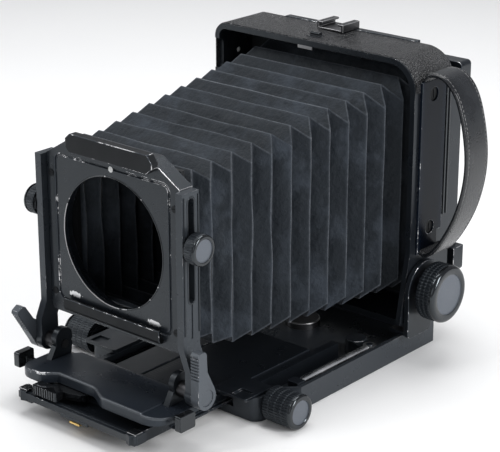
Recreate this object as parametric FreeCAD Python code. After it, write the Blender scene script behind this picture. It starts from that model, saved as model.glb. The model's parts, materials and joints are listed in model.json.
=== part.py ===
import FreeCAD, Part
import math
import os

# A folding metal field camera for 4x5 inch sheet film, opened with its front standard run out.
# Millimetres. +X is to the right as seen from the front, the lens points along -Y, +Z is up.
# Everything is drawn from the rear case's front rim (Y 0) and the bed's underside (Z 0), then the
# whole camera is shifted by SOCKET_BEHIND_RIM so that the tripod socket's mouth is the origin.

V = FreeCAD.Vector
ALONG = {"x": V(1, 0, 0), "y": V(0, 1, 0), "z": V(0, 0, 1)}

# ---- overall -------------------------------------------------------------------------------
SOCKET_BEHIND_RIM = -6.0
GAP = 0.3                # between pieces that move past each other
RUNNING = 0.05           # radial clearance of a shaft in its bore

# ---- bed: a shallow tray that the camera stands on -------------------------------------------
BED_HALF = 87.0
BED_NOSE_HALF = 78.0
BED_REAR = 37.0
BED_FRONT = -148.0
BED_STEP = -114.0        # where the tray narrows to its nose
BED_TOP = 17.0
BED_FLOOR = 3.0
BED_WALL = 3.0
NOSE_RADIUS = 8.0
RAIL_INNER = 50.8
RAIL_OUTER = 57.0
RAIL_TOP = 14.0
RAIL_REAR = -36.0
SOCKET_RADIUS = 4.76     # three-eighths inch tripod thread
SOCKET_LENGTH = 7.5
SOCKET_WALL = 3.0
SOCKET_CAP = 1.0
BOSS_RADIUS = 13.0
STRUT_X = 79.3           # a bright brace lies along each side of the bed
STRUT_Z = 15.6
STRUT_RADIUS = 2.4
STRUT_FRONT = -110.0
STRUT_REAR = -33.0
STRUT_PIN_Y = -29.5
STRUT_RING = 4.6         # the flat ring at its rear end
STRUT_RING_HALF_THICK = 1.5
STRUT_PIN = 2.4
STRUT_BOSS_RADIUS = 7.5
STRUT_LINK_LOW = 9.0
STRUT_POST_HALF = 4.0

# ---- track: slides in the bed's rails ----------------------------------------------------------
TRACK_HALF = 50.5
TRACK_FRONT = -234.0
TRACK_REAR = -60.0
TRACK_TOP = 15.5
TRACK_BOTTOM = 11.5
TONGUE_HALF = 53.3
TONGUE_LOW = 7.4
TONGUE_HIGH = 9.2
END_HALF = 53.25
END_FRONT = -237.0
RACK_CENTRE = 28.0
RACK_HALF_WIDTH = 2.5
RACK_PITCH = 3.0
SKIRT_IN = 44.0
TONGUE_FRONT = -200.0
WELL_HALF = 46.0

# ---- focusing drive ------------------------------------------------------------------------------
FOCUS_Y = -136.0
PINION_Z = 5.4
PINION_TIP = 2.1
PINION_SHAFT = 1.6
KNOB_Z = 12.3
KNOB_GEAR_TIP = 4.45
STUB_RADIUS = 2.5
FOCUS_KNOB_RADIUS = 12.0
FOCUS_KNOB_IN = 79.5
FOCUS_KNOB_OUT = 105.0
GEARBOX_OUT = 74.8
GEARBOX_FRONT = -156.0
GEARBOX_REAR = -128.0
GEARBOX_TOP = 19.0
GEARBOX_LIP = 45.0       # its lip reaches in to here over the track
POCKET_IN = 60.0         # the pocket that the knob's gear runs in
POCKET_OUT = 72.0
POCKET_TOP = 17.5
PINION_TEETH = 10
KNOB_TEETH = 20

# ---- front base: swings on the carriage that slides on the track --------------------------------
COVER_HALF = 65.0
COVER_FRONT = -228.0
COVER_REAR = -190.0
COVER_LOW = 21.4
COVER_TOP = 28.5
SWING_Y = -202.0
SWING_STUD = 4.0
PIVOT_Y = -196.0         # front tilt axis
PIVOT_Z = 36.0
PIVOT_PIN = 3.0
EAR_IN = 51.5
EAR_OUT = 56.0
EAR_CLEAR = 0.2          # round the ears and the frame, under the cover
EAR_RADIUS = 7.5
FRAME_FRONT = -212.8
FRAME_REAR = -190.5
SHOULDER_AT = 50.0       # where the cover's raised middle ends
SHOULDER_FALL = 1.8
TAB_STEM_LOW = COVER_LOW + 1.1
TAB_STEM_HIGH = COVER_LOW + 4.3

# ---- front standard ------------------------------------------------------------------------------
UPRIGHT_IN = 59.5
UPRIGHT_OUT = 65.0
UPRIGHT_FRONT = -203.0
UPRIGHT_REAR = -188.0
UPRIGHT_TOP = 169.5
JOG = 6.0
FOOT_RADIUS = 8.0
LEVER_THICK = 6.5
LEVER_GROOVES = 8
LEVER_GROOVE_PITCH = 2.1
SLOT_LOW = 97.0
SLOT_HIGH = 165.5
SLOT_Y = -195.2
SLOT_WIDTH = 5.0
RISE_KNOB_Z = 134.0
RISE_KNOB_RADIUS = 10.1
RISE_KNOB_OUT = 76.0
PANEL_HALF = 59.0
PANEL_FRONT = -198.6
PANEL_REAR = -186.6
PANEL_SKIN = 3.2         # thickness left round the lens opening
PANEL_LOW = 61.0
PANEL_TOP = 184.5
LENS_Z = 121.2
LENS_RADIUS = 44.0
BOARD_HALF = 51.0        # the square that a lens board lies in
BOARD_LOW = 70.5
BOARD_TOP = 172.0
BOARD_GROOVE = 1.6
LIP_HALF = 43.5
SCREW_X = 54.8
SCREW_Z = (74.7, 157.0)

# ---- rear case -----------------------------------------------------------------------------------
CASE_HALF = 90.0
CASE_LOW = 22.5
CASE_TOP = 215.0
CASE_REAR = 46.0
CASE_WALL = 4.0
REAR_WALL_FRONT = 40.0
TILT_Y = 14.0            # rear tilt axis, through the two large knobs
TILT_Z = 50.5
TILT_STUB = 4.0
TILT_KNOB_RADIUS = 20.7
TILT_KNOB_IN = 95.1
TILT_KNOB_OUT = 115.0
BRACKET_IN = 91.2
BRACKET_OUT = 94.8
PLATE_THICK = 2.2
STRAP_PLATE_TOP = 200.0
RIGHT_CORNER = 22.0      # the case's upper corners are rounded unequally
LEFT_CORNER = 10.0
LOWER_CORNER = 5.0
SIDE_SCREW_Y = 19.5
SIDE_SCREW_Z = (94.0, 190.0)

# ---- revolving back ------------------------------------------------------------------------------
BACK_Z = 127.0
BACK_HALF_WIDTH = 91.5
BACK_HALF_HEIGHT = 78.0
BACK_FRONT = 52.0
BACK_REAR = 64.0
RING_OUTER = 82.0
RING_INNER = 77.5
RING_FLANGE = 86.0
HOOD_FRONT = 72.9        # the focusing hood's frame
HOOD_REAR = 76.0
HOOD_COVER_REAR = 79.0
HOOD_PIN = 0.9
SPRING_FRONT = 72.2
SPRING_REAR = 72.8
IMAGE_HALF_WIDTH = 60.5
IMAGE_HALF_HEIGHT = 48.5

# ---- bellows -------------------------------------------------------------------------------------
FOLD_PITCH = 17.5
FIRST_RIDGE = -2.0       # a ridge of the top and bottom faces, at the case's rim
CLOTH = 0.8


# ======== drawing helpers ====================================================================
def box(x, y, z):
    """A block between the low and high value of each axis."""
    return Part.makeBox(x[1] - x[0], y[1] - y[0], z[1] - z[0], V(x[0], y[0], z[0]))


def rod(axis, radius, centre, start, end):
    """A cylinder along one axis; centre holds its other two coordinates in x, y, z order."""
    a, b = centre
    base = {"x": V(start, a, b), "y": V(a, start, b), "z": V(a, b, start)}[axis]
    return Part.makeCylinder(radius, end - start, base, ALONG[axis])


def prism(axis, points, start, end):
    """A flat outline pushed along one axis; the points hold the other two coordinates."""
    place = {
        "x": lambda p: V(start, p[0], p[1]),
        "y": lambda p: V(p[0], start, p[1]),
        "z": lambda p: V(p[0], p[1], start),
    }[axis]
    corners = [place(p) for p in points]
    face = Part.Face(Part.makePolygon(corners + corners[:1]))
    return face.extrude(ALONG[axis] * (end - start))


def round_edges(shape, axis, radius, keep=lambda centre: True):
    """Fillet the straight edges that run along an axis, where keep says so."""
    edges = [
        e for e in shape.Edges
        if isinstance(e.Curve, Part.Line)
        and e.tangentAt(e.FirstParameter).cross(ALONG[axis]).Length < 1e-6
        and keep(e.CenterOfMass)
    ]
    return shape.makeFillet(radius, edges)


def mirrored(shape):
    return shape.mirror(V(0, 0, 0), V(1, 0, 0))


def save(name, *solids):
    """Shift from the rim to the tripod socket, check, and write one node."""
    shape = solids[0] if len(solids) == 1 else Part.makeCompound(list(solids))
    shape = shape.copy()
    shape.translate(V(0, -SOCKET_BEHIND_RIM, 0))
    shape = shape.Solids[0] if len(shape.Solids) == 1 else Part.makeCompound(shape.Solids)
    if not shape.isValid() or shape.Volume <= 0:
        raise ValueError(name + " isn't a sound solid")
    shape.exportStep(os.path.join("parts", name + ".step"))


def save_pair(name, shape):
    """The piece as drawn on the right, and its mirror image on the left."""
    save(name + "_right", shape)
    save(name + "_left", mirrored(shape))


def knurled_knob(radius, centre, start, end, rows, inset):
    """A knob along +X: knurl rows parted by grooves, a rounded rim and a sunk disc in its face."""
    body = rod("x", radius, centre, start, end)
    rim = [e for e in body.Edges if abs(e.CenterOfMass.x - end) < 1e-6 and len(e.Vertexes) == 1]
    body = body.makeFillet(radius * 0.09, rim)
    pitch = (end - start) * 0.78 / rows
    for row in range(rows):
        middle = start + pitch * (row + 1)
        groove = rod("x", radius + 1, centre, middle - 0.4, middle + 0.4)
        body = body.cut(groove.cut(rod("x", radius - 0.5, centre, middle - 0.4, middle + 0.4)))
    return body.cut(rod("x", inset, centre, end - 1.0, end + 1))


def toothed_wheel(tip, teeth, centre, start, end):
    """A small gear along X: a disc with a round gap between each two teeth."""
    wheel = rod("x", tip, centre, start, end)
    gap = tip * math.pi / teeth * 0.5
    for tooth in range(teeth):
        angle = 2 * math.pi * tooth / teeth
        at = (centre[0] + tip * math.cos(angle), centre[1] + tip * math.sin(angle))
        wheel = wheel.cut(rod("x", gap, at, start - 1, end + 1))
    return wheel


# ======== bed ====================================================================================
def bed_outline(inset):
    """The tray's plan, drawn in by the wall's thickness for its hollow."""
    wide, nose = BED_HALF - inset, BED_NOSE_HALF - inset
    step = BED_HALF - BED_NOSE_HALF
    right = [(wide, BED_REAR - inset), (wide, BED_STEP), (nose, BED_STEP - step), (nose, BED_FRONT + inset)]
    return right + [(-x, y) for x, y in reversed(right)]


def bed_tray():
    at_nose = lambda centre: centre.y < BED_FRONT + 4
    outer = round_edges(prism("z", bed_outline(0), 0, BED_TOP), "z", NOSE_RADIUS, at_nose)
    hollow = prism("z", bed_outline(BED_WALL), BED_FLOOR, BED_TOP + 1)
    hollow = round_edges(hollow, "z", NOSE_RADIUS - BED_WALL, at_nose)
    tray = outer.cut(hollow)
    # the nose is low between the gearboxes, where the track runs out
    sill, mouth_depth = BED_FLOOR + 3, 12
    mouth = box((-RAIL_OUTER, RAIL_OUTER), (BED_FRONT - 1, BED_FRONT + mouth_depth), (sill, BED_TOP + 1))
    tray = tray.cut(mouth)
    tray = tray.cut(rod("z", SOCKET_RADIUS + SOCKET_WALL, (0, SOCKET_BEHIND_RIM), -1, BED_FLOOR + 1))
    for side in (-1, 1):
        start, end = sorted((side * (BED_NOSE_HALF - BED_WALL - 1), side * (BED_NOSE_HALF + 1)))
        tray = tray.cut(rod("x", STUB_RADIUS + GAP, (FOCUS_Y, KNOB_Z), start, end))
    return tray


def tripod_socket():
    """A steel insert let into the floor, with a round boss inside the tray."""
    centre = (0, SOCKET_BEHIND_RIM)
    top = SOCKET_LENGTH + SOCKET_CAP
    boss = rod("z", BOSS_RADIUS, centre, BED_FLOOR, top)
    insert = rod("z", SOCKET_RADIUS + SOCKET_WALL, centre, 0, top).fuse(boss)
    rim = [e for e in insert.Edges if len(e.Vertexes) == 1 and e.CenterOfMass.z > SOCKET_LENGTH]
    insert = insert.makeChamfer(0.6, rim)
    return insert.cut(rod("z", SOCKET_RADIUS, centre, -1, SOCKET_LENGTH))


def bed_rail():
    """A channel along the bed that holds the track down by its tongue."""
    rail = box((RAIL_INNER, RAIL_OUTER), (BED_FRONT + BED_WALL, RAIL_REAR), (BED_FLOOR, RAIL_TOP))
    groove = box((RAIL_INNER - 1, TONGUE_HALF + GAP), (BED_FRONT - 1, RAIL_REAR + 1),
                 (TONGUE_LOW - GAP, TONGUE_HIGH + GAP))
    rail = rail.cut(groove)
    return rail.cut(rod("x", PINION_SHAFT + GAP, (FOCUS_Y, PINION_Z), RAIL_INNER - 1, RAIL_OUTER + 1))


def gearbox():
    """A block in the bed's nose: it carries the knob's stub and the pinion shaft, and its lip
    reaches over the track."""
    block = box((RAIL_OUTER, GEARBOX_OUT), (GEARBOX_FRONT, GEARBOX_REAR), (BED_FLOOR, GEARBOX_TOP))
    block = block.cut(box((RAIL_OUTER - 1, GEARBOX_OUT + 1), (GEARBOX_FRONT - 1, BED_FRONT + BED_WALL + 0.1),
                          (BED_FLOOR - 1, BED_TOP + 0.2)))
    # its corner clears the rounded inner corner of the nose
    relief = 6.8
    corner = [(GEARBOX_OUT + 1, FOCUS_Y - 4), (GEARBOX_OUT + 1, BED_FRONT), (GEARBOX_OUT - relief, BED_FRONT)]
    block = block.cut(prism("z", corner, BED_FLOOR - 1, BED_TOP + 0.2))
    lip = box((GEARBOX_LIP, RAIL_OUTER), (GEARBOX_FRONT, GEARBOX_REAR), (TRACK_TOP + 1, GEARBOX_TOP))
    block = block.fuse(lip).removeSplitter()
    block = round_edges(block, "z", 2.0, lambda c: c.z > BED_TOP and c.y < GEARBOX_FRONT + 1)
    # the knob's gear runs in a pocket that opens to the rear and below
    along = (FOCUS_Y - 5, GEARBOX_REAR + 1)
    block = block.cut(box((POCKET_IN, POCKET_OUT), along, (BED_FLOOR - 1, POCKET_TOP)))
    recess_depth = 1.6
    recess = box((61, 71), (-153.5, -143.5), (GEARBOX_TOP - recess_depth, GEARBOX_TOP + 1))
    block = block.cut(recess)
    block = block.cut(rod("x", STUB_RADIUS + RUNNING, (FOCUS_Y, KNOB_Z), POCKET_OUT - 1, GEARBOX_OUT + 1))
    return block.cut(rod("x", PINION_SHAFT + RUNNING, (FOCUS_Y, PINION_Z), RAIL_OUTER - 1, GEARBOX_OUT + 1))


def strut_rod():
    """A bright brace lying along the bed's side, with a ring at its rear end."""
    bar = rod("y", STRUT_RADIUS, (STRUT_X, STRUT_Z), STRUT_FRONT, STRUT_REAR)
    low, high = STRUT_Z - STRUT_RING_HALF_THICK, STRUT_Z + STRUT_RING_HALF_THICK
    eye = (STRUT_X, STRUT_PIN_Y)
    ring = rod("z", STRUT_RING, eye, low, high)
    return bar.fuse(ring).cut(rod("z", STRUT_PIN + 2 * RUNNING, eye, low - 2, high + 2))


def strut_anchor():
    """The post that holds the brace's front end."""
    inner, wall = 74.5, BED_HALF - BED_WALL
    along = (STRUT_FRONT - STRUT_POST_HALF, STRUT_FRONT + STRUT_POST_HALF)
    post = box((inner, wall), along, (BED_FLOOR, STRUT_Z + STRUT_RADIUS + 0.5))
    post = round_edges(post, "z", 2.0, lambda c: c.x < STRUT_X)
    return post.cut(rod("y", STRUT_RADIUS, (STRUT_X, STRUT_Z), STRUT_FRONT, along[1] + 1))


def strut_boss():
    """The round boss and link that the brace's ring is pinned to."""
    boss_x, boss_y, boss_top = 61.0, -21.0, 14.5
    boss = rod("z", STRUT_BOSS_RADIUS, (boss_x, boss_y), BED_FLOOR, boss_top)
    outline = [(boss_x, boss_y - 7), (82, -34), (83, -25), (boss_x, boss_y + 7)]
    link = prism("z", outline, STRUT_LINK_LOW, STRUT_Z - STRUT_RING_HALF_THICK - 0.2)
    pin = rod("z", STRUT_PIN, (STRUT_X, STRUT_PIN_Y), STRUT_LINK_LOW, STRUT_Z + 2.0)
    return boss.fuse([link, pin])


def rear_bracket():
    """Stands on the bed's side wall; the case tilts on the knob's stub that passes through it."""
    foot_in, foot_thick, head_radius = 76, 2.8, 20.5
    leg = box((BRACKET_IN, BRACKET_OUT), (-6, 22), (BED_TOP, TILT_Z))
    leg = round_edges(leg, "x", 4.0, lambda c: c.z < BED_TOP + 1)
    head = rod("x", head_radius, (TILT_Y, TILT_Z), BRACKET_IN, BRACKET_OUT)
    foot = box((foot_in, BRACKET_IN + 1), (-2, 18), (BED_TOP, BED_TOP + foot_thick))
    bracket = leg.fuse([head, foot]).removeSplitter()
    return bracket.cut(rod("x", TILT_STUB + RUNNING, (TILT_Y, TILT_Z), BRACKET_IN - 1, BRACKET_OUT + 1))


def make_bed():
    save("bed_tray", bed_tray())
    save("tripod_socket", tripod_socket())
    save("bed_rails", bed_rail(), mirrored(bed_rail()))
    save_pair("gearbox", gearbox())
    save("strut_rods", strut_rod(), mirrored(strut_rod()))
    bosses = [strut_boss(), strut_anchor()]
    save("strut_mountings", *bosses, *[mirrored(b) for b in bosses])
    save("rear_brackets", rear_bracket(), mirrored(rear_bracket()))


# ======== track and focusing drive ================================================================
def track_plate():
    plate = box((-TRACK_HALF, TRACK_HALF), (TRACK_FRONT, TRACK_REAR), (TRACK_BOTTOM, TRACK_TOP))
    for side in (-1, 1):
        edges = sorted((side * SKIRT_IN, side * TRACK_HALF))
        skirt = box(edges, (TRACK_FRONT, TRACK_REAR), (TONGUE_LOW, TRACK_BOTTOM))
        edges = sorted((side * (TRACK_HALF - 1), side * TONGUE_HALF))
        tongue = box(edges, (TONGUE_FRONT, TRACK_REAR), (TONGUE_LOW, TONGUE_HIGH))
        plate = plate.fuse([skirt, tongue])
    plate = plate.removeSplitter()
    well_rear, front_well_floor = -70, TRACK_BOTTOM + 1.2
    through = (TRACK_BOTTOM - 1, TRACK_TOP + 1)
    well = box((-WELL_HALF, -34), (-186, well_rear), through)
    slot = box((-10.2, -8.2), (-190, well_rear), through)
    front_well = box((-WELL_HALF, WELL_HALF), (-231, -214), (front_well_floor, TRACK_TOP + 1))
    return plate.cut(well).cut(slot).cut(front_well)


def track_end():
    """The end plate, with a capped corner at each side and a blank name strip in the middle."""
    plate = box((-END_HALF, END_HALF), (END_FRONT, TRACK_FRONT), (11, TRACK_TOP + 0.1))
    strip_proud, cap_low, cap_high = 0.4, 9.8, 16.6
    plate = plate.fuse(box((-13, 12), (END_FRONT - strip_proud, END_FRONT + 1), (9.6, 11.6)))
    wide, cap_rear = END_HALF + 0.8, END_FRONT + 10
    corner = [(WELL_HALF, END_FRONT), (50, END_FRONT - 1.2), (wide, END_FRONT + 2), (wide, cap_rear),
              (TRACK_HALF, cap_rear), (TRACK_HALF, TRACK_FRONT), (WELL_HALF, TRACK_FRONT)]
    for side in (-1, 1):
        plate = plate.fuse(prism("z", [(side * x, y) for x, y in corner], cap_low, cap_high))
    return plate.removeSplitter()


def racks():
    """Two strips under the plate, notched like a rack, one over each pinion."""
    low = PINION_Z + PINION_TIP + GAP
    front, rear = -222.0, -66.0
    strips = []
    for side in (-1, 1):
        across = (side * RACK_CENTRE - RACK_HALF_WIDTH, side * RACK_CENTRE + RACK_HALF_WIDTH)
        strip = box(across, (front, rear), (low, TRACK_BOTTOM))
        notches = []
        for k in range(int((rear - front) / RACK_PITCH)):
            start = front + RACK_PITCH * (k + 0.5)
            along = (start, start + RACK_PITCH / 2)
            notches.append(box((across[0] - 1, across[1] + 1), along, (low - 1, low + 1)))
        strips.append(strip.cut(Part.makeCompound(notches)))
    return strips


def make_track():
    save("track_plate", track_plate())
    save("track_end", track_end())
    save("focus_racks", *racks())
    save("stop_tab", box((-4, 5), (END_FRONT - 1.0, END_FRONT + 8), (8.2, 9.5)))


def make_focus_drive():
    shaft = rod("x", PINION_SHAFT, (FOCUS_Y, PINION_Z), -GEARBOX_OUT + 0.5, GEARBOX_OUT - 0.5)
    save("pinion_shaft", shaft)
    wheels = []
    gear_middle, gear_width, rack_wheel_width = (POCKET_IN + POCKET_OUT) / 2, 5.0, 4.0
    for side in (-1, 1):
        for middle, width in ((side * RACK_CENTRE, rack_wheel_width), (side * gear_middle, gear_width)):
            centre = (FOCUS_Y, PINION_Z)
            wheel = toothed_wheel(PINION_TIP, PINION_TEETH, centre, middle - width / 2, middle + width / 2)
            wheels.append(wheel.cut(rod("x", PINION_SHAFT, centre, middle - width, middle + width)))
    save("pinions", *wheels)
    centre = (FOCUS_Y, KNOB_Z)
    collar, collar_radius, disc_radius = 1.5, 8.0, 8.2
    knob = knurled_knob(FOCUS_KNOB_RADIUS, centre, FOCUS_KNOB_IN + collar, FOCUS_KNOB_OUT, 4, disc_radius)
    knob = knob.fuse(rod("x", collar_radius, centre, FOCUS_KNOB_IN, FOCUS_KNOB_IN + collar))
    knob = knob.fuse(rod("x", STUB_RADIUS, centre, POCKET_IN + 2.5, FOCUS_KNOB_IN + 1))
    save_pair("focus_knob", knob)
    ends = (gear_middle - gear_width / 2, gear_middle + gear_width / 2)
    gear = toothed_wheel(KNOB_GEAR_TIP, KNOB_TEETH, centre, *ends)
    save_pair("drive_gear", gear.cut(rod("x", STUB_RADIUS, centre, ends[0] - 1, ends[1] + 1)))


# ======== front base ==============================================================================
def cover_outline():
    """Plan of the base cover, anticlockwise from the rear right, with the lever's bay in front."""
    bay_left, bay_right, bay_depth = -41.0, 17.0, 8.0
    return [
        (COVER_HALF, COVER_REAR), (48, COVER_REAR), (44, COVER_REAR + 4),
        (-44, COVER_REAR + 4), (-48, COVER_REAR), (-COVER_HALF, COVER_REAR),
        (-COVER_HALF, COVER_FRONT + 14), (-52, COVER_FRONT),
        (bay_left, COVER_FRONT), (bay_left + 9, COVER_FRONT + bay_depth),
        (bay_right - 16, COVER_FRONT + bay_depth), (bay_right, COVER_FRONT),
        (52, COVER_FRONT), (COVER_HALF, COVER_FRONT + 14),
    ]


def base_cover():
    cover = prism("z", cover_outline(), COVER_LOW, COVER_TOP)
    # the two shoulders slope down outside the raised middle
    for side in (-1, 1):
        beyond, above = side * (COVER_HALF + 1), COVER_TOP + 2
        outline = [(side * SHOULDER_AT, COVER_TOP), (beyond, COVER_TOP - SHOULDER_FALL),
                   (beyond, above), (side * SHOULDER_AT, above)]
        cover = cover.cut(prism("y", outline, COVER_FRONT - 1, COVER_REAR + 5))
        ear = sorted((side * (EAR_IN - EAR_CLEAR), side * (EAR_OUT + EAR_CLEAR)))
        along = (FRAME_FRONT - EAR_CLEAR, COVER_REAR + 5)
        cover = cover.cut(box(ear, along, (COVER_LOW - 1, COVER_TOP + 1)))
        stem = sorted((side * 57.5, beyond))
        cover = cover.cut(box(stem, (-213.2, -209.2), (TAB_STEM_LOW - GAP, TAB_STEM_HIGH + GAP)))
    hollow = box((-EAR_OUT - EAR_CLEAR, EAR_OUT + EAR_CLEAR), along, (COVER_LOW - 1, COVER_LOW + 3.2))
    return cover.cut(hollow)


def base_frame():
    """The plate under the cover and its two ears, which carry the tilt pins."""
    low, high = COVER_LOW - 1.2, COVER_LOW + 3.0
    frame = box((-EAR_OUT, EAR_OUT), (FRAME_FRONT, FRAME_REAR), (low, high))
    for side in (-1, 1):
        across = sorted((side * EAR_IN, side * EAR_OUT))
        profile = [(-211, high - 1), (FRAME_REAR, high - 1), (PIVOT_Y + EAR_RADIUS, PIVOT_Z),
                   (PIVOT_Y - EAR_RADIUS, PIVOT_Z)]
        ear = prism("x", profile, *across)
        ear = ear.fuse(rod("x", EAR_RADIUS, (PIVOT_Y, PIVOT_Z + 4), *across))
        frame = frame.fuse(ear)
    frame = frame.removeSplitter()
    frame = frame.cut(rod("x", PIVOT_PIN + RUNNING, (PIVOT_Y, PIVOT_Z), -EAR_OUT - 1, EAR_OUT + 1))
    return frame.cut(rod("z", SWING_STUD + RUNNING, (0, SWING_Y), low - 1, high + 1))


def base_carriage():
    half, low = 43.5, TRACK_TOP + 0.25 + GAP
    plate = box((-half, half), (-211, -172), (low, COVER_LOW - 1.5))
    stud = rod("z", SWING_STUD, (0, SWING_Y), COVER_LOW - 1.6, COVER_LOW + 2.8)
    return round_edges(plate, "z", 4.0).fuse(stud)


def swing_lever():
    """A flat lever under the cover's bay with a serrated thumb block."""
    low, high = TRACK_TOP + 0.6, COVER_LOW - 0.5
    hub_radius, hub_x, hub_y = 6.0, -12, -219
    grooves, groove_pitch, groove_width = 9, 2.2, 0.9
    hub = rod("z", hub_radius, (hub_x, hub_y), low, high)
    arm = prism("z", [(-12, -225), (-12, -213.5), (-34, -219), (-34, -231)], low, high)
    thumb = box((-41, -19), (-236, -228), (low + 0.8, high + 2.2))
    thumb = round_edges(thumb, "z", 1.5)
    for groove in range(grooves):
        x = -39.4 + groove * groove_pitch
        thumb = thumb.cut(box((x, x + groove_width), (-237, -235.3), (low, high + 3)))
    arm = arm.fuse(box((-38, -24), (-229, -224), (low, high)))
    return hub.fuse([arm, thumb]).removeSplitter()


def release_tab():
    """A sprung thumb plate at the side of the base, on a stem that slides into it."""
    plate = box((71.5, 76.5), (-219.5, -205.5), (GEARBOX_TOP + 2 * GAP, 30.4))
    plate = round_edges(plate, "x", 1.5)
    stem = box((61, 72), (-212.9, -209.5), (TAB_STEM_LOW, TAB_STEM_HIGH))
    return plate.fuse(stem)


def make_front_base():
    save("base_carriage", base_carriage())
    save("base_frame", base_frame())
    save("base_cover", base_cover())
    save("swing_lever", swing_lever())
    save_pair("release_tab", release_tab())


# ======== front standard ==========================================================================
def upright():
    """A slotted arm; its foot steps outward to the tilt pin."""
    step_top, step_low = 67.0, 52.0
    profile = [
        (UPRIGHT_IN, UPRIGHT_TOP), (UPRIGHT_IN, step_top),
        (UPRIGHT_IN + JOG, step_low), (UPRIGHT_IN + JOG, PIVOT_Z),
        (UPRIGHT_OUT + JOG, PIVOT_Z), (UPRIGHT_OUT + JOG, step_low),
        (UPRIGHT_OUT, step_top), (UPRIGHT_OUT, UPRIGHT_TOP),
    ]
    arm = prism("y", profile, UPRIGHT_FRONT, UPRIGHT_REAR)
    foot = rod("x", FOOT_RADIUS, (PIVOT_Y, PIVOT_Z), UPRIGHT_IN + JOG, UPRIGHT_OUT + JOG)
    arm = arm.fuse(foot).removeSplitter()
    half = SLOT_WIDTH / 2
    ends = (SLOT_LOW + half, SLOT_HIGH - half)
    slot = box((UPRIGHT_IN - 1, UPRIGHT_OUT + 1), (SLOT_Y - half, SLOT_Y + half), ends)
    for z in ends:
        slot = slot.fuse(rod("x", half, (SLOT_Y, z), UPRIGHT_IN - 1, UPRIGHT_OUT + 1))
    groove = box((UPRIGHT_OUT - 0.6, UPRIGHT_OUT + 1), (SLOT_Y - 0.8, SLOT_Y + 0.8), (73, 96))
    arm = arm.cut(slot).cut(groove)
    return arm.cut(rod("x", PIVOT_PIN, (PIVOT_Y, PIVOT_Z), UPRIGHT_IN, UPRIGHT_OUT + JOG + 1))


def tilt_pin():
    pin = rod("x", PIVOT_PIN, (PIVOT_Y, PIVOT_Z), EAR_IN - 1, UPRIGHT_OUT + JOG)
    washer = rod("x", 5.5, (PIVOT_Y, PIVOT_Z), EAR_OUT + GAP, UPRIGHT_IN + JOG)
    return pin.fuse(washer)


def tilt_lever():
    """A lock lever on the tilt pin's outer end, upright, with a serrated front."""
    inner = UPRIGHT_OUT + JOG + GAP
    outer = inner + LEVER_THICK
    hub = rod("x", 8.2, (PIVOT_Y, PIVOT_Z), inner, outer)
    profile = [(-204, PIVOT_Z), (-204, 66.5), (-202.5, 68), (-197.5, 68), (-196, 66), (-195.5, 54),
               (-188.6, 40)]
    lever = hub.fuse(prism("x", profile, inner, outer)).removeSplitter()
    for groove in range(LEVER_GROOVES):
        z = 50 + groove * LEVER_GROOVE_PITCH
        lever = lever.cut(box((inner - 1, outer + 1), (-205, -203.4), (z, z + 0.9)))
    return lever.cut(rod("x", 5.6, (PIVOT_Y, PIVOT_Z), outer - 0.6, outer + 1))


def make_front_standard():
    save_pair("upright", upright())
    save("tilt_pins", tilt_pin(), mirrored(tilt_pin()))
    save("tilt_lever_right", tilt_lever())
    swung = mirrored(tilt_lever())
    swung.rotate(V(0, PIVOT_Y, PIVOT_Z), ALONG["x"], 31)
    save("tilt_lever_left", swung)


# ======== lens panel ==============================================================================
def lens_panel():
    outline = [(-PANEL_HALF, PANEL_LOW), (PANEL_HALF, PANEL_LOW), (PANEL_HALF, 170), (35, PANEL_TOP),
               (-35, PANEL_TOP), (-PANEL_HALF, 170)]
    panel = prism("y", outline, PANEL_FRONT, PANEL_REAR)
    panel = round_edges(panel, "y", 4.0, lambda c: c.z < PANEL_LOW + 1)
    panel = panel.cut(rod("y", LENS_RADIUS, (0, LENS_Z), PANEL_FRONT - 1, PANEL_REAR + 1))
    panel = panel.cut(rod("y", LENS_RADIUS + 5, (0, LENS_Z), PANEL_FRONT + PANEL_SKIN, PANEL_REAR + 1))
    # light trap: a square groove round the opening
    corner, depth, island = 6.0, 1.2, BOARD_HALF - BOARD_GROOVE
    outer = box((-BOARD_HALF, BOARD_HALF), (PANEL_FRONT - 1, PANEL_FRONT + depth), (BOARD_LOW, BOARD_TOP))
    inner = box((-island, island), (PANEL_FRONT - 2, PANEL_FRONT + 2),
                (BOARD_LOW + BOARD_GROOVE, BOARD_TOP - BOARD_GROOVE))
    groove = round_edges(outer, "y", corner).cut(round_edges(inner, "y", corner - 1.4))
    return panel.cut(groove)


def board_lip():
    """The ledge that a lens board's lower edge drops behind."""
    face, seat = PANEL_FRONT - 4.4, PANEL_FRONT - 2.4
    profile = [(PANEL_FRONT, 64.5), (face + 1.4, 64.5), (face, 67), (face, 73.6), (seat, 73.6), (seat, 70),
               (PANEL_FRONT, 70)]
    return prism("x", profile, -LIP_HALF, LIP_HALF)


def panel_screws():
    screws = []
    radius, slot_half = 2.4, 0.3
    for x in (-SCREW_X, SCREW_X):
        for z in SCREW_Z:
            head = rod("y", radius, (x, z), PANEL_FRONT - 0.5, PANEL_FRONT)
            slot = box((x - 2, x + 2), (PANEL_FRONT - 1, PANEL_FRONT - 0.25), (z - slot_half, z + slot_half))
            screws.append(head.cut(slot))
    return screws


def lock_bar():
    """Slides up to free a lens board's upper edge."""
    front, rear = PANEL_FRONT - 6.4, PANEL_FRONT - GAP
    outline = [(-31, 177), (37, 177), (42, 181), (42, 184), (38, 189.5), (-30, 189.5), (-34, 186), (-34, 180)]
    return prism("y", outline, front, rear)


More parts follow.
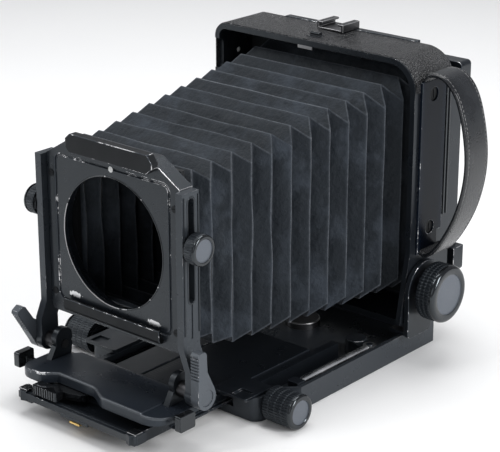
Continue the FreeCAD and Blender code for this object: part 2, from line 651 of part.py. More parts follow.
def make_lens_panel():
    save("lens_panel", lens_panel())
    save("board_lip", board_lip())
    save("panel_screws", *panel_screws())
    half, low, high, rim = 49, 66, 177, 4.5
    frame = box((-half, half), (PANEL_REAR, -183.3), (low, high))
    frame = frame.cut(box((rim - half, half - rim), (PANEL_REAR - 1, -180), (low + 5, high - 5)))
    save("bellows_front_frame", frame)
    save("board_lock_bar", lock_bar())
    centre = (SLOT_Y, RISE_KNOB_Z)
    knob = knurled_knob(RISE_KNOB_RADIUS, centre, UPRIGHT_OUT + 2, RISE_KNOB_OUT, 1, 7.4)
    knob = knob.fuse(rod("x", 8.6, centre, UPRIGHT_OUT + GAP, UPRIGHT_OUT + 2))
    knob = knob.fuse(rod("x", SLOT_WIDTH / 2 - 0.1, centre, PANEL_HALF + GAP, UPRIGHT_OUT + 1))
    save_pair("rise_knob", knob)


# ======== rear case ===============================================================================
def case_shell():
    """A deep hood, open at the front, with a round hole in its rear wall for the revolving back."""
    wide, low, top = CASE_HALF, CASE_LOW, CASE_TOP

    def rounded_tube(inset, front, rear):
        block = box((-wide + inset, wide - inset), (front, rear), (low + inset, top - inset))
        block = round_edges(block, "y", RIGHT_CORNER - inset, lambda c: c.x > 0 and c.z > 100)
        block = round_edges(block, "y", LEFT_CORNER - inset, lambda c: c.x < 0 and c.z > 100)
        return round_edges(block, "y", LOWER_CORNER, lambda c: c.z < 100 and abs(c.x) > 50)

    shell = rounded_tube(0, 0, CASE_REAR)
    for side in (-1, 1):
        across = sorted((side * (wide - CASE_WALL), side * wide))
        flare = prism("x", [(0.1, 78), (-9, 30), (-9, 27.5), (0.1, 27.5)], *across)
        shell = shell.fuse(flare)
    shell = shell.cut(rounded_tube(CASE_WALL, -20, REAR_WALL_FRONT))
    shell = shell.cut(rod("y", RING_OUTER + RUNNING, (0, BACK_Z), 30, 50))
    # the left wall is scooped back near its top, with a small hole behind
    scoop = round_edges(box((-wide - 1, -wide + CASE_WALL + 1), (-10, 4.6), (181, 203)), "x", 4.0,
                        lambda c: c.y > 0)
    shell = shell.cut(scoop)
    shell = shell.cut(rod("x", 2.0, (21.6, 190.6), -wide - 1, -wide + CASE_WALL + 1))
    return shell.cut(rod("x", TILT_STUB + 2 * RUNNING, (TILT_Y, TILT_Z), -wide - 1, wide + 1))


def accessory_shoe():
    """A foot with two rails bent over to hold a standard flash or finder foot."""
    x0, x1, y0, y1 = -18.6, 5.0, 29.5, 49.0
    base = box((x0, x1), (y0, y1), (CASE_TOP + 1.2, CASE_TOP + 2.4))
    rails = []
    for edge, inward in ((x0, 1), (x1, -1)):
        wall = box(sorted((edge, edge + inward * 1.8)), (y0, y1), (CASE_TOP + 2.4, CASE_TOP + 6.6))
        hook = box(sorted((edge, edge + inward * 5.0)), (y0, y1), (CASE_TOP + 5.0, CASE_TOP + 6.6))
        rails += [wall, hook]
    pad = box((-14, 0.4), (y0 + 3, CASE_REAR - 2.5), (CASE_TOP, CASE_TOP + 1.2))
    return base.fuse(rails + [pad]).removeSplitter()


def hood_catch():
    """A spring catch let into the case's top."""
    plate = box((-11, -1), (8, 16), (CASE_TOP, CASE_TOP + 1.2))
    lug = round_edges(box((-10, -2), (11, 15), (CASE_TOP + 1.2, CASE_TOP + 3.6)), "x", 1.2,
                      lambda c: c.z > CASE_TOP + 2)
    return plate.fuse(lug)


def back_retainer():
    ring_top = BACK_Z + RING_FLANGE
    top = box((-60, 58), (43.8, 49.6), (CASE_TOP, CASE_TOP + 1.2))
    return top.fuse(box((-60, 58), (CASE_REAR, 49.6), (ring_top + GAP, CASE_TOP + 1.2))).removeSplitter()


def strap_plate():
    plate = box((CASE_HALF, CASE_HALF + PLATE_THICK), (6, 28), (76, STRAP_PLATE_TOP))
    step = box((CASE_HALF, CASE_HALF + PLATE_THICK / 2), (28, 35), (89, STRAP_PLATE_TOP))
    plate = plate.fuse(step).removeSplitter()
    for z in SIDE_SCREW_Z:
        plate = plate.cut(rod("x", 4.8, (SIDE_SCREW_Y, z), CASE_HALF, CASE_HALF + 5))
    return plate


def strap_screws():
    screws = []
    for z in SIDE_SCREW_Z:
        head = rod("x", 4.6, (SIDE_SCREW_Y, z), CASE_HALF, CASE_HALF + 1.2)
        across = (SIDE_SCREW_Y - 0.5, SIDE_SCREW_Y + 0.5)
        slot = box((CASE_HALF + 0.6, CASE_HALF + 3), across, (z - 3, z + 3))
        screws.append(head.cut(slot))
    return screws


def hand_strap():
    """A leather band standing out from the case's side, drawn as a curve and given thickness."""
    thick, width = 2.8, (7.0, 33.0)
    route = [(90.6, 202.5), (96.5, 207.2), (108, 205.8), (118.5, 195.5), (125.5, 177.5), (129, 155),
             (127.5, 132), (121, 108), (109, 86), (98, 75.5), (90.6, 77.2)]
    curve = Part.BSplineCurve()
    curve.interpolate([V(x, width[0], z) for x, z in route])
    steps = 40
    span = curve.LastParameter - curve.FirstParameter
    inner = []
    for k in range(steps + 1):
        t = curve.FirstParameter + span * k / steps
        tangent = curve.tangent(t)[0]
        inner.append(curve.value(t) + V(tangent.z, 0, -tangent.x) * thick)
    inside = Part.BSplineCurve()
    inside.interpolate(inner)
    edges = [
        curve.toShape(),
        Part.LineSegment(curve.value(curve.LastParameter), inner[-1]).toShape(),
        inside.toShape(),
        Part.LineSegment(inner[0], curve.value(curve.FirstParameter)).toShape(),
    ]
    face = Part.Face(Part.Wire(Part.__sortEdges__(edges)))
    strap = face.extrude(V(0, width[1] - width[0], 0))
    # its lower end is trimmed where it meets the plate
    return strap.cut(box((CASE_HALF - 1, CASE_HALF + PLATE_THICK + 0.02), (0, 40), (70, STRAP_PLATE_TOP)))


def tilt_knob():
    centre = (TILT_Y, TILT_Z)
    flange_radius, flange_length, disc_radius = 17.0, 5, 14.0
    grip = TILT_KNOB_IN + flange_length
    knob = knurled_knob(TILT_KNOB_RADIUS, centre, grip, TILT_KNOB_OUT, 3, disc_radius)
    flange = rod("x", flange_radius, centre, TILT_KNOB_IN, grip)
    stub = rod("x", TILT_STUB, centre, CASE_HALF - CASE_WALL + 0.2, TILT_KNOB_IN + 1)
    return knob.fuse([flange, stub])


def make_rear_case():
    save("case_shell", case_shell())
    frame = round_edges(box((-83, 83), (33.3, 36.0), (32, 206)), "y", 8.0)
    save("bellows_rear_frame", frame.cut(box((-62, 62), (30, 40), (66, 188))))
    save("accessory_shoe", accessory_shoe())
    save("hood_catch", hood_catch())
    save("back_retainer", back_retainer())
    save("strap_plate", strap_plate())
    save("strap_screws", *strap_screws())
    save("hand_strap", hand_strap())
    save_pair("tilt_knob", tilt_knob())


# ======== revolving back ==========================================================================
def back_ring():
    ring = rod("y", RING_OUTER, (0, BACK_Z), 40.5, BACK_FRONT)
    ring = ring.fuse(rod("y", RING_FLANGE, (0, BACK_Z), CASE_REAR + GAP, BACK_FRONT))
    return ring.cut(rod("y", RING_INNER, (0, BACK_Z), 30, 60))


def back_plate():
    wide, high = BACK_HALF_WIDTH, BACK_HALF_HEIGHT
    plate = box((-wide, wide), (BACK_FRONT, BACK_REAR), (BACK_Z - high, BACK_Z + high))
    plate = round_edges(plate, "y", 3.0)
    for side in (-1, 1):
        across = sorted((side * 85, side * (wide + 1)))
        plate = plate.cut(box(across, (BACK_FRONT - 1, BACK_REAR + 1), (BACK_Z - 59, BACK_Z + 62)))
    window = box((-IMAGE_HALF_WIDTH, IMAGE_HALF_WIDTH), (BACK_FRONT - 1, BACK_REAR + 1),
                 (BACK_Z - IMAGE_HALF_HEIGHT, BACK_Z + IMAGE_HALF_HEIGHT))
    return plate.cut(window)


def glass_frame():
    frame = box((-78, 78), (BACK_REAR + GAP, 72), (BACK_Z - 60, BACK_Z + 60))
    frame = round_edges(frame, "y", 3.0)
    frame = frame.cut(box((-58, 58), (60, 80), (BACK_Z - 46, BACK_Z + 46)))
    return frame.cut(box((-64, 64), (60, 67), (BACK_Z - 51, BACK_Z + 51)))


def back_spring(z):
    """A bowed leaf from the back plate's posts over the glass frame."""
    straight, post_x, post_radius = 72, 81.5, 3.0
    thick, tall = (SPRING_FRONT, SPRING_REAR), (z - 3, z + 3)
    leaf = box((-straight, straight), thick, tall)
    for side in (-1, 1):
        post = rod("y", post_radius, (side * post_x, z), BACK_REAR, SPRING_FRONT)
        end = box(sorted((side * straight, side * (post_x + post_radius))), thick, tall)
        leaf = leaf.fuse([post, end])
    return leaf.removeSplitter()


def focusing_hood():
    """The frame of the folding hood behind the glass, and the sprung cover hinged at its top."""
    frame = box((-66, 66), (HOOD_FRONT, HOOD_REAR), (BACK_Z - 54, BACK_Z + 54))
    frame = round_edges(frame, "y", 2.0)
    frame = frame.cut(box((-59, 59), (70, 80), (BACK_Z - 47, BACK_Z + 47)))
    for start in (-60, 40):
        frame = frame.fuse(box((start, start + 20), (72, HOOD_COVER_REAR), (BACK_Z + 54, BACK_Z + 57)))
    axis = (77.5, BACK_Z + 55.5)
    frame = frame.removeSplitter().cut(rod("x", HOOD_PIN, axis, -70, 70))
    pin = rod("x", HOOD_PIN, axis, -62, 62)
    cover_front, knuckle_end = HOOD_REAR + GAP, 39.5
    cover = box((-64, 64), (cover_front, HOOD_COVER_REAR), (BACK_Z - 53, BACK_Z + 52.8))
    cover = round_edges(cover, "y", 3.0, lambda c: c.z < BACK_Z)
    knuckle = rod("x", 1.5, axis, -knuckle_end, knuckle_end)
    web = box((-knuckle_end, knuckle_end), (cover_front, 78.7), (BACK_Z + 52, axis[1]))
    cover = cover.fuse([knuckle, web]).removeSplitter()
    return frame, pin, cover.cut(rod("x", HOOD_PIN + RUNNING, axis, -70, 70))


def make_back():
    save("back_ring", back_ring())
    save("back_plate", back_plate())
    save("back_springs", back_spring(BACK_Z - 66), back_spring(BACK_Z + 66))
    save("glass_frame", glass_frame())
    save("ground_glass", box((-63.8, 63.8), (65, 67), (BACK_Z - 50.8, BACK_Z + 50.8)))
    frame, pin, cover = focusing_hood()
    save("hood_frame", frame)
    save("hood_pin", pin)
    save("hood_cover", cover)


# ======== bellows =================================================================================
def bellows_size(y):
    """Half-widths of a top ridge and of a side ridge, and the ridges' top and bottom, at a depth y."""
    back = y - FIRST_RIDGE
    narrow = 62.7 + 0.084 * back
    depth = 12.6 + 0.0263 * back
    top = 196.3 + 0.117 * back
    # the cloth sags a little between the case and the panel, and rises to meet the panel
    lift = max(0.0, (-150.0 - y) / 33.0)
    low = 42.4 - 0.042 * back + 14.0 * lift
    return narrow, depth, top, low


def bellows_section(y, tall, inset):
    """A rectangle: tall and narrow at a top ridge, wide and low at a side ridge."""
    narrow, depth, top, low = bellows_size(y)
    half = (narrow if tall else narrow + depth) - inset
    top -= inset + (0 if tall else depth)
    low += inset + (0 if tall else depth)
    corners = [V(-half, y, low), V(half, y, low), V(half, y, top), V(-half, y, top)]
    return Part.makePolygon(corners + corners[:1])


def bellows_part(folds):
    """A pleated tube through the listed folds, each a depth and whether it is a top ridge."""
    outer = Part.makeLoft([bellows_section(y, tall, 0) for y, tall in folds], True, True)
    inner = Part.makeLoft([bellows_section(y, tall, CLOTH) for y, tall in folds], True, True)
    return outer.cut(inner)


def make_bellows():
    half = FOLD_PITCH / 2
    folds = [(FIRST_RIDGE - half * k, k % 2 == 0) for k in range(-4, 19)]
    folds += [(-168.0, False), (-176.0, True), (-183.3, False)]
    # each stretch has folds enough for the movement that it takes up
    parts = (("bellows_rear", 0, 4), ("bellows_main", 4, 10), ("bellows_slide", 10, 17),
             ("bellows_swing", 17, 19), ("bellows_tilt", 19, 23), ("bellows_rise", 23, 25))
    for name, first, last in parts:
        save(name, bellows_part(folds[first:last + 1]))


os.makedirs("parts", exist_ok=True)
make_bed()
make_track()
make_focus_drive()
make_front_base()
make_front_standard()
make_lens_panel()
make_rear_case()
make_back()
make_bellows()
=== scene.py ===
"""Surfaces and finishes of an opened metal field camera, built over its CAD frame."""

import json
import math

import bmesh
import bpy
import numpy as np
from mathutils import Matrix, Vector

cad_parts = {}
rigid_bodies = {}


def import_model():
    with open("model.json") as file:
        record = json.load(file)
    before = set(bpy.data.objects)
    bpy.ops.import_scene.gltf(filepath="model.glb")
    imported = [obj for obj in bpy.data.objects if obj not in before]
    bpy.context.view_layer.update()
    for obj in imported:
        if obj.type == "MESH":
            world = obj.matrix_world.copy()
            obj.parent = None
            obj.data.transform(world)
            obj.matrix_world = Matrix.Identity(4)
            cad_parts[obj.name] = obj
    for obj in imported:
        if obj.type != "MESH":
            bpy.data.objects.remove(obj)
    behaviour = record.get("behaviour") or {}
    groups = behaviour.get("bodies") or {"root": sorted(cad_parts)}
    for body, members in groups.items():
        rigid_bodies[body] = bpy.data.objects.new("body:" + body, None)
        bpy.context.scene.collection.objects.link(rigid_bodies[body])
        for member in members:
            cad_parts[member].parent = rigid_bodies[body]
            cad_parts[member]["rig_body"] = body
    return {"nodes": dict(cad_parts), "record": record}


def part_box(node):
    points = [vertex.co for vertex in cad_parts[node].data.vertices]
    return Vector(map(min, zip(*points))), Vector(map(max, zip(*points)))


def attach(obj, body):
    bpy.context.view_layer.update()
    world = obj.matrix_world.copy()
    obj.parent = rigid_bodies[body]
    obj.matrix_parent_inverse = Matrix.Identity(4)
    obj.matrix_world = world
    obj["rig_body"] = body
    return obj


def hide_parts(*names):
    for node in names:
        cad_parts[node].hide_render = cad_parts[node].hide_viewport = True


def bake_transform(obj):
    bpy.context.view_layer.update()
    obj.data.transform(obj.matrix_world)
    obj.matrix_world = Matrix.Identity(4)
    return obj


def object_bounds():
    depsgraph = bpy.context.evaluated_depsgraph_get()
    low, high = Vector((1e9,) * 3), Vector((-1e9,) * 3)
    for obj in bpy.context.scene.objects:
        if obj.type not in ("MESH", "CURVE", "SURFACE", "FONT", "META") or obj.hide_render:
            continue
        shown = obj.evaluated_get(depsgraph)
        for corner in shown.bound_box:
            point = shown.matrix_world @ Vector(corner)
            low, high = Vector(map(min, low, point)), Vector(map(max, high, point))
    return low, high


bl_info = {
    "name": "Folding Field Camera",
    "version": (1, 0, 0),
    "blender": (4, 5, 0),
    "location": "3D View > Sidebar > Field Camera",
    "description": "Builds the bellows, knobs, leather and finishes of an opened metal field camera",
    "category": "Add Mesh",
}

MM = 0.001
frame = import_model()
CAD_BOUNDS = [list(corner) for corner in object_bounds()]
SLOT_OF = {part["node"]: part["material_slot"] for part in frame["record"]["subparts"]}


# ---------------------------------------------------------------- settings
class CameraFinishes(bpy.types.PropertyGroup):
    """Colours and roughness of the camera's finishes."""

    enamel: bpy.props.FloatVectorProperty(
        name="Enamel", description="Satin black enamel on the cast metal parts",
        subtype="COLOR", size=3, min=0, max=1, default=(0.0070, 0.0086, 0.0112))
    enamel_roughness: bpy.props.FloatProperty(
        name="Enamel Roughness", description="Roughness of the satin enamel",
        subtype="FACTOR", min=0, max=1, default=0.31)
    gloss: bpy.props.FloatVectorProperty(
        name="Gloss Black", description="Gloss black of the levers and the bed's inside",
        subtype="COLOR", size=3, min=0, max=1, default=(0.0045, 0.0048, 0.0056))
    bare_metal: bpy.props.FloatVectorProperty(
        name="Bare Metal", description="Metal that shows where the enamel is chipped",
        subtype="COLOR", size=3, min=0, max=1, default=(0.62, 0.62, 0.63))
    cloth: bpy.props.FloatVectorProperty(
        name="Bellows Cloth", description="Coated cloth of the bellows",
        subtype="COLOR", size=3, min=0, max=1, default=(0.0070, 0.0092, 0.0128))
    covering: bpy.props.FloatVectorProperty(
        name="Case Covering", description="Pebbled leatherette on the case",
        subtype="COLOR", size=3, min=0, max=1, default=(0.0105, 0.0112, 0.0128))
    strap: bpy.props.FloatVectorProperty(
        name="Strap Leather", description="Smooth leather of the hand strap",
        subtype="COLOR", size=3, min=0, max=1, default=(0.0075, 0.0088, 0.0108))


class CameraSizes(bpy.types.PropertyGroup):
    """Sizes that the frame doesn't fix."""

    edge: bpy.props.FloatProperty(
        name="Edge Radius", description="Width of the broken edges on the metal parts",
        subtype="DISTANCE", unit="LENGTH", min=0, max=0.002, default=0.0004)
    fold_softness: bpy.props.FloatProperty(
        name="Fold Softness", description="How round the bellows' folds are, as a share of a panel",
        subtype="FACTOR", min=0, max=0.5, default=0.07)
    knurls: bpy.props.IntProperty(
        name="Knurls", description="Pads round each row of a large knob", min=12, max=120, default=54)
    strap_thickness: bpy.props.FloatProperty(
        name="Strap Thickness", description="Thickness of the hand strap",
        subtype="DISTANCE", unit="LENGTH", min=0.001, max=0.006, default=0.0028)
    stitch_pitch: bpy.props.FloatProperty(
        name="Stitch Pitch", description="Distance between stitches along the strap",
        subtype="DISTANCE", unit="LENGTH", min=0.001, max=0.01, default=0.0030)


class CameraStage(bpy.types.PropertyGroup):
    """The view and its light."""

    azimuth: bpy.props.FloatProperty(
        name="Azimuth", description="How far the view stands round to the right of the lens axis",
        subtype="ANGLE", unit="ROTATION", default=math.radians(40.855))
    elevation: bpy.props.FloatProperty(
        name="Elevation", description="How far the view looks down",
        subtype="ANGLE", unit="ROTATION", default=math.radians(20.2))
    distance: bpy.props.FloatProperty(
        name="Distance", description="From the view to the point it looks at",
        subtype="DISTANCE", unit="LENGTH", default=1.24)
    aim: bpy.props.FloatVectorProperty(
        name="Aim", description="The point the view looks at",
        subtype="TRANSLATION", unit="LENGTH", size=3, default=(-0.01153, -0.04576, 0.08939))
    lens: bpy.props.FloatProperty(
        name="Lens", description="Focal length on a 36 mm wide frame, in millimetres",
        unit="CAMERA", min=10, max=500, default=126.6)
    floor: bpy.props.FloatVectorProperty(
        name="Floor", description="Colour of the pale floor",
        subtype="COLOR", size=3, min=0, max=1, default=(0.815, 0.815, 0.815))


# ---------------------------------------------------------------- surfaces
def smoothstep(t):
    """0 below 0, 1 above 1, and 3t^2 - 2t^3 between."""
    t = np.clip(t, 0.0, 1.0)
    return t * t * (3.0 - 2.0 * t)


def grid_faces(rows, columns, close_rows, close_columns):
    """Quads of a grid: corner (i, j), (i+1, j), (i+1, j+1), (i, j+1), wrapping where it is closed."""
    i = np.arange(rows if close_rows else rows - 1)
    j = np.arange(columns if close_columns else columns - 1)
    i, j = (a.ravel() for a in np.meshgrid(i, j, indexing="ij"))
    after_i, after_j = (i + 1) % rows, (j + 1) % columns
    corners = (i * columns + j, after_i * columns + j, after_i * columns + after_j, i * columns + after_j)
    return np.stack(corners, axis=1)


def in_scene(name, data):
    thing = bpy.data.objects.new(name, data)
    bpy.context.scene.collection.objects.link(thing)
    return thing


def surface(name, points, close_rows=False, close_columns=False, finishes=(), finish_of_row=None, seal=True):
    """A mesh object from a grid of points; a row of the grid may take its own finish."""
    rows, columns = points.shape[:2]
    faces = grid_faces(rows, columns, close_rows, close_columns)
    mesh = bpy.data.meshes.new(name)
    mesh.from_pydata(points.reshape(-1, 3).tolist(), [], faces.tolist())
    for finish in finishes:
        mesh.materials.append(finish)
    if finish_of_row is not None:
        per_row = len(faces) // (rows if close_rows else rows - 1)
        mesh.polygons.foreach_set("material_index", np.repeat(finish_of_row, per_row).astype(np.int32))
    if seal:
        close_up(mesh)
    mesh.shade_smooth()
    return in_scene(name, mesh)


def close_up(mesh, distance=2e-6):
    """Merge doubled points and turn every face outwards."""
    work = bmesh.new()
    work.from_mesh(mesh)
    bmesh.ops.remove_doubles(work, verts=work.verts, dist=distance)
    bmesh.ops.recalc_face_normals(work, faces=work.faces)
    work.to_mesh(mesh)
    work.free()


def turn_outwards(mesh, fill_ends=False):
    """Turn every face outwards, after closing the open ends where asked."""
    work = bmesh.new()
    work.from_mesh(mesh)
    if fill_ends:
        bmesh.ops.holes_fill(work, edges=[e for e in work.edges if e.is_boundary])
    bmesh.ops.recalc_face_normals(work, faces=work.faces)
    work.to_mesh(mesh)
    work.free()


def place(piece, body, slot, *nodes):
    """The piece moves with a body and stands for CAD nodes, which are hidden; the slot is not used."""
    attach(piece, body)
    if nodes:
        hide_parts(*nodes)
    return piece


def curve_through(points, count):
    """Catmull-Rom curve: between two points, a cubic whose slope at each is half the step across it.

    Returns count points spread evenly by length, and their tangents.
    """
    p = np.asarray(points, float)
    p = np.vstack([2 * p[0] - p[1], p, 2 * p[-1] - p[-2]])
    t = np.linspace(0, len(p) - 3, 60 * (len(p) - 3) + 1)
    k = np.minimum(t.astype(int), len(p) - 4)
    u = (t - k)[:, None]
    a, b, c, d = p[k], p[k + 1], p[k + 2], p[k + 3]
    line = 0.5 * (2 * b + (c - a) * u + (2 * a - 5 * b + 4 * c - d) * u**2 + (3 * b - a - 3 * c + d) * u**3)
    along = np.concatenate([[0], np.cumsum(np.linalg.norm(np.diff(line, axis=0), axis=1))])
    even = np.linspace(0, along[-1], count)
    spread = np.stack([np.interp(even, along, line[:, n]) for n in range(3)], axis=1)
    slope = np.gradient(spread, axis=0)
    return spread, slope / np.linalg.norm(slope, axis=1)[:, None], along[-1]


# ---------------------------------------------------------------- finishes
COOL = (0.84, 0.93, 1.0, 1.0)      # the slightly blue gloss of the black finishes


def shader(name, base=None):
    """A new material, or a copy of base, with its Principled shader, node adder and linker."""
    material = base.copy() if base else bpy.data.materials.new(name)
    material.name = name
    material.use_nodes = True
    tree = material.node_tree

    def add(kind, **values):
        node = tree.nodes.new(kind)
        for key, value in values.items():
            if key in node.inputs:
                node.inputs[key].default_value = value
            else:
                setattr(node, key, value)
        return node

    return material, tree.nodes["Principled BSDF"], add, tree.links.new


def set_gloss(principled, level):
    principled.inputs["Specular IOR Level"].default_value = level
    principled.inputs["Specular Tint"].default_value = COOL


def feed(link, value, socket):
    """Link a socket to another one, or set its value."""
    if isinstance(value, bpy.types.NodeSocket):
        link(value, socket)
    else:
        socket.default_value = value


def coordinates(add, link, stretch=(1, 1, 1)):
    """Object coordinates in metres, stretched along each axis."""
    source = add("ShaderNodeTexCoord")
    mapping = add("ShaderNodeMapping")
    mapping.inputs["Scale"].default_value = stretch
    link(source.outputs["Object"], mapping.inputs["Vector"])
    return mapping.outputs["Vector"]


def ramp(add, link, source, low, high):
    """A colour ramp of a source; low and high are pairs of its position and a grey level or colour."""
    node = add("ShaderNodeValToRGB")
    for element, (position, colour) in zip(node.color_ramp.elements, (low, high)):
        element.position = position
        element.color = (*colour, 1) if hasattr(colour, "__len__") else (colour, colour, colour, 1)
    link(source, node.inputs["Fac"])
    return node.outputs["Color"]


def maths(add, link, operation, first, second):
    node = add("ShaderNodeMath", operation=operation)
    feed(link, first, node.inputs[0])
    feed(link, second, node.inputs[1])
    return node.outputs[0]


def noise(add, link, vector, scale, detail=4.0, roughness=0.55):
    node = add("ShaderNodeTexNoise", Scale=scale, Detail=detail, Roughness=roughness)
    link(vector, node.inputs["Vector"])
    return node.outputs["Fac"]


def bump(add, link, height, strength, distance, base=None):
    node = add("ShaderNodeBump", Strength=strength, Distance=distance)
    link(height, node.inputs["Height"])
    if base is not None:
        link(base, node.inputs["Normal"])
    return node.outputs["Normal"]


def blend_colour(add, link, factor, first, second):
    node = add("ShaderNodeMix", data_type="RGBA")
    link(factor, node.inputs["Factor"])
    for value, socket in ((first, node.inputs[6]), (second, node.inputs[7])):
        feed(link, (*value, 1) if isinstance(value, tuple) else value, socket)
    return node.outputs[2]


def scaled(colour, share, lift=0.0):
    return tuple(c * share + lift for c in colour)


def enamel(name, colour, roughness, wear=0.0, metal=None, dust=0.25, peel=0.12, shine=0.42):
    """Black enamel: slightly uneven gloss, fine orange peel, dust, and chips to bare metal by wear."""
    material, principled, add, link = shader(name)
    vector = coordinates(add, link)
    smudge = noise(add, link, vector, 45, 5)
    grain = noise(add, link, vector, 2600, 2)
    speck = noise(add, link, vector, 900, 3, 0.7)
    dusty = ramp(add, link, speck, (0.60, 0.0), (0.74, 1.0))
    amount = maths(add, link, "MULTIPLY", dusty, dust)
    shade = blend_colour(add, link, amount, colour, scaled(colour, 2.2, 0.03))
    if wear:
        chip = noise(add, link, vector, 260, 6, 0.75)
        patch = noise(add, link, vector, 38, 3, 0.6)
        mean = maths(add, link, "MULTIPLY", maths(add, link, "ADD", chip, patch), 0.5)
        start = 0.62 - 0.10 * wear
        chipped = ramp(add, link, mean, (start, 0.0), (start + 0.02, 1.0))
        shade = blend_colour(add, link, chipped, shade, metal)
        link(chipped, principled.inputs["Metallic"])
    link(shade, principled.inputs["Base Color"])
    uneven = ramp(add, link, smudge, (0.30, roughness - 0.07), (0.72, roughness + 0.09))
    link(uneven, principled.inputs["Roughness"])
    link(bump(add, link, grain, peel, 0.00006), principled.inputs["Normal"])
    set_gloss(principled, shine)
    return material


def bellows_cloth(colour):
    """Coated cloth: a fine weave, soft wrinkles, painted highlights along the folds and corners, and dusty
    smudges.
    """
    material, principled, add, link = shader("bellows_cloth")
    vector = coordinates(add, link)
    fold = add("ShaderNodeAttribute", attribute_name="fold")
    smudge = noise(add, link, vector, 28, 6, 0.62)
    fine = noise(add, link, vector, 420, 4, 0.7)
    threads = []
    for direction in ("X", "Z"):
        wave = add("ShaderNodeTexWave", Scale=520.0, bands_direction=direction)
        link(vector, wave.inputs["Vector"])
        threads.append(wave.outputs["Fac"])
    weave = maths(add, link, "MULTIPLY", *threads)
    # Lighter cloth along the folds and corners is a painted highlight; worn only breaks it up with fine
    # noise.
    worn = ramp(add, link, fine, (0.35, 0.35), (0.65, 1.0))
    fold_highlight = maths(add, link, "MULTIPLY", fold.outputs["Fac"], worn)
    shade = blend_colour(add, link, fold_highlight, colour, scaled(colour, 4.0, 0.055))
    dusty = ramp(add, link, smudge, (0.49, 0.0), (0.66, 0.9))
    shade = blend_colour(add, link, dusty, shade, scaled(colour, 3.0, 0.010))
    link(shade, principled.inputs["Base Color"])
    link(ramp(add, link, smudge, (0.3, 0.50), (0.7, 0.66)), principled.inputs["Roughness"])
    cloth = bump(add, link, weave, 0.18, 0.0001)
    wrinkle = noise(add, link, vector, 62, 5, 0.6)
    link(bump(add, link, wrinkle, 0.75, 0.0032, cloth), principled.inputs["Normal"])
    principled.inputs["Sheen Weight"].default_value = 0.10
    principled.inputs["Sheen Roughness"].default_value = 0.4
    set_gloss(principled, 0.28)
    return material


def leather(name, colour, pebble, height, roughness, scratches=0.0):
    """Grained leather: round pebbles parted by fine valleys, over slow changes of gloss."""
    material, principled, add, link = shader(name)
    vector = coordinates(add, link)
    cells = add("ShaderNodeTexVoronoi", Scale=1 / pebble, feature="SMOOTH_F1")
    cells.inputs["Smoothness"].default_value = 0.35
    link(vector, cells.inputs["Vector"])
    slow = noise(add, link, vector, 50, 4)
    shade = ramp(add, link, slow, (0.25, scaled(colour, 0.75)), (0.8, scaled(colour, 1.6, 0.004)))
    if scratches:
        lines = noise(add, link, coordinates(add, link, (1.0, 1.0, 0.12)), 900, 3, 0.8)
        mark = ramp(add, link, lines, (0.66, 0.0), (0.72, scratches))
        shade = blend_colour(add, link, mark, shade, (0.16, 0.16, 0.16))
    link(shade, principled.inputs["Base Color"])
    rough = ramp(add, link, slow, (0.3, roughness - 0.08), (0.75, roughness + 0.1))
    link(rough, principled.inputs["Roughness"])
    raised = maths(add, link, "SUBTRACT", 1.0, cells.outputs["Distance"])
    link(bump(add, link, raised, 0.8, height), principled.inputs["Normal"])
    return material


def metal(name, colour, roughness, scratch=0.15):
    """Bare or plated metal with faint drawn lines."""
    material, principled, add, link = shader(name)
    drawn = noise(add, link, coordinates(add, link, (1, 0.06, 1)), 1800, 3)
    smear = noise(add, link, coordinates(add, link), 60, 4)
    rough = ramp(add, link, smear, (0.3, roughness - 0.06), (0.75, roughness + 0.12))
    link(rough, principled.inputs["Roughness"])
    link(ramp(add, link, smear, (0.2, scaled(colour, 0.8)), (0.8, colour)), principled.inputs["Base Color"])
    principled.inputs["Metallic"].default_value = 1.0
    link(bump(add, link, drawn, scratch, 0.00003), principled.inputs["Normal"])
    return material


def ground_glass():
    """Glass ground on one face: pale, rough and partly clear."""
    material, principled, add, link = shader("ground_glass")
    frost = noise(add, link, coordinates(add, link), 3000, 2)
    link(bump(add, link, frost, 0.4, 0.00004), principled.inputs["Normal"])
    principled.inputs["Base Color"].default_value = (0.82, 0.86, 0.85, 1)
    principled.inputs["Roughness"].default_value = 0.55
    principled.inputs["Transmission Weight"].default_value = 0.6
    return material


def panel_enamel(name, base, centres, size, metal):
    """Satin enamel worn through to metal in ragged ovals: inside |(p - centre) / size| < noise."""
    material, principled, add, link = shader(name, base)
    vector = coordinates(add, link)
    ragged = noise(add, link, coordinates(add, link, (1, 1, 0.35)), 700, 4, 0.7)
    mask = 0.0
    for centre in centres:
        apart = add("ShaderNodeVectorMath", operation="SUBTRACT")
        link(vector, apart.inputs[0])
        apart.inputs[1].default_value = centre
        shares = add("ShaderNodeVectorMath", operation="DIVIDE")
        link(apart.outputs[0], shares.inputs[0])
        shares.inputs[1].default_value = size
        far = add("ShaderNodeVectorMath", operation="LENGTH")
        link(shares.outputs[0], far.inputs[0])
        limit = maths(add, link, "MULTIPLY", far.outputs["Value"], 0.52)
        inside = maths(add, link, "GREATER_THAN", ragged, limit)
        mask = maths(add, link, "MAXIMUM", mask, inside)
    under = principled.inputs["Base Color"].links[0].from_socket
    link(blend_colour(add, link, mask, under, metal), principled.inputs["Base Color"])
    link(mask, principled.inputs["Metallic"])
    return material


FINISH = {}


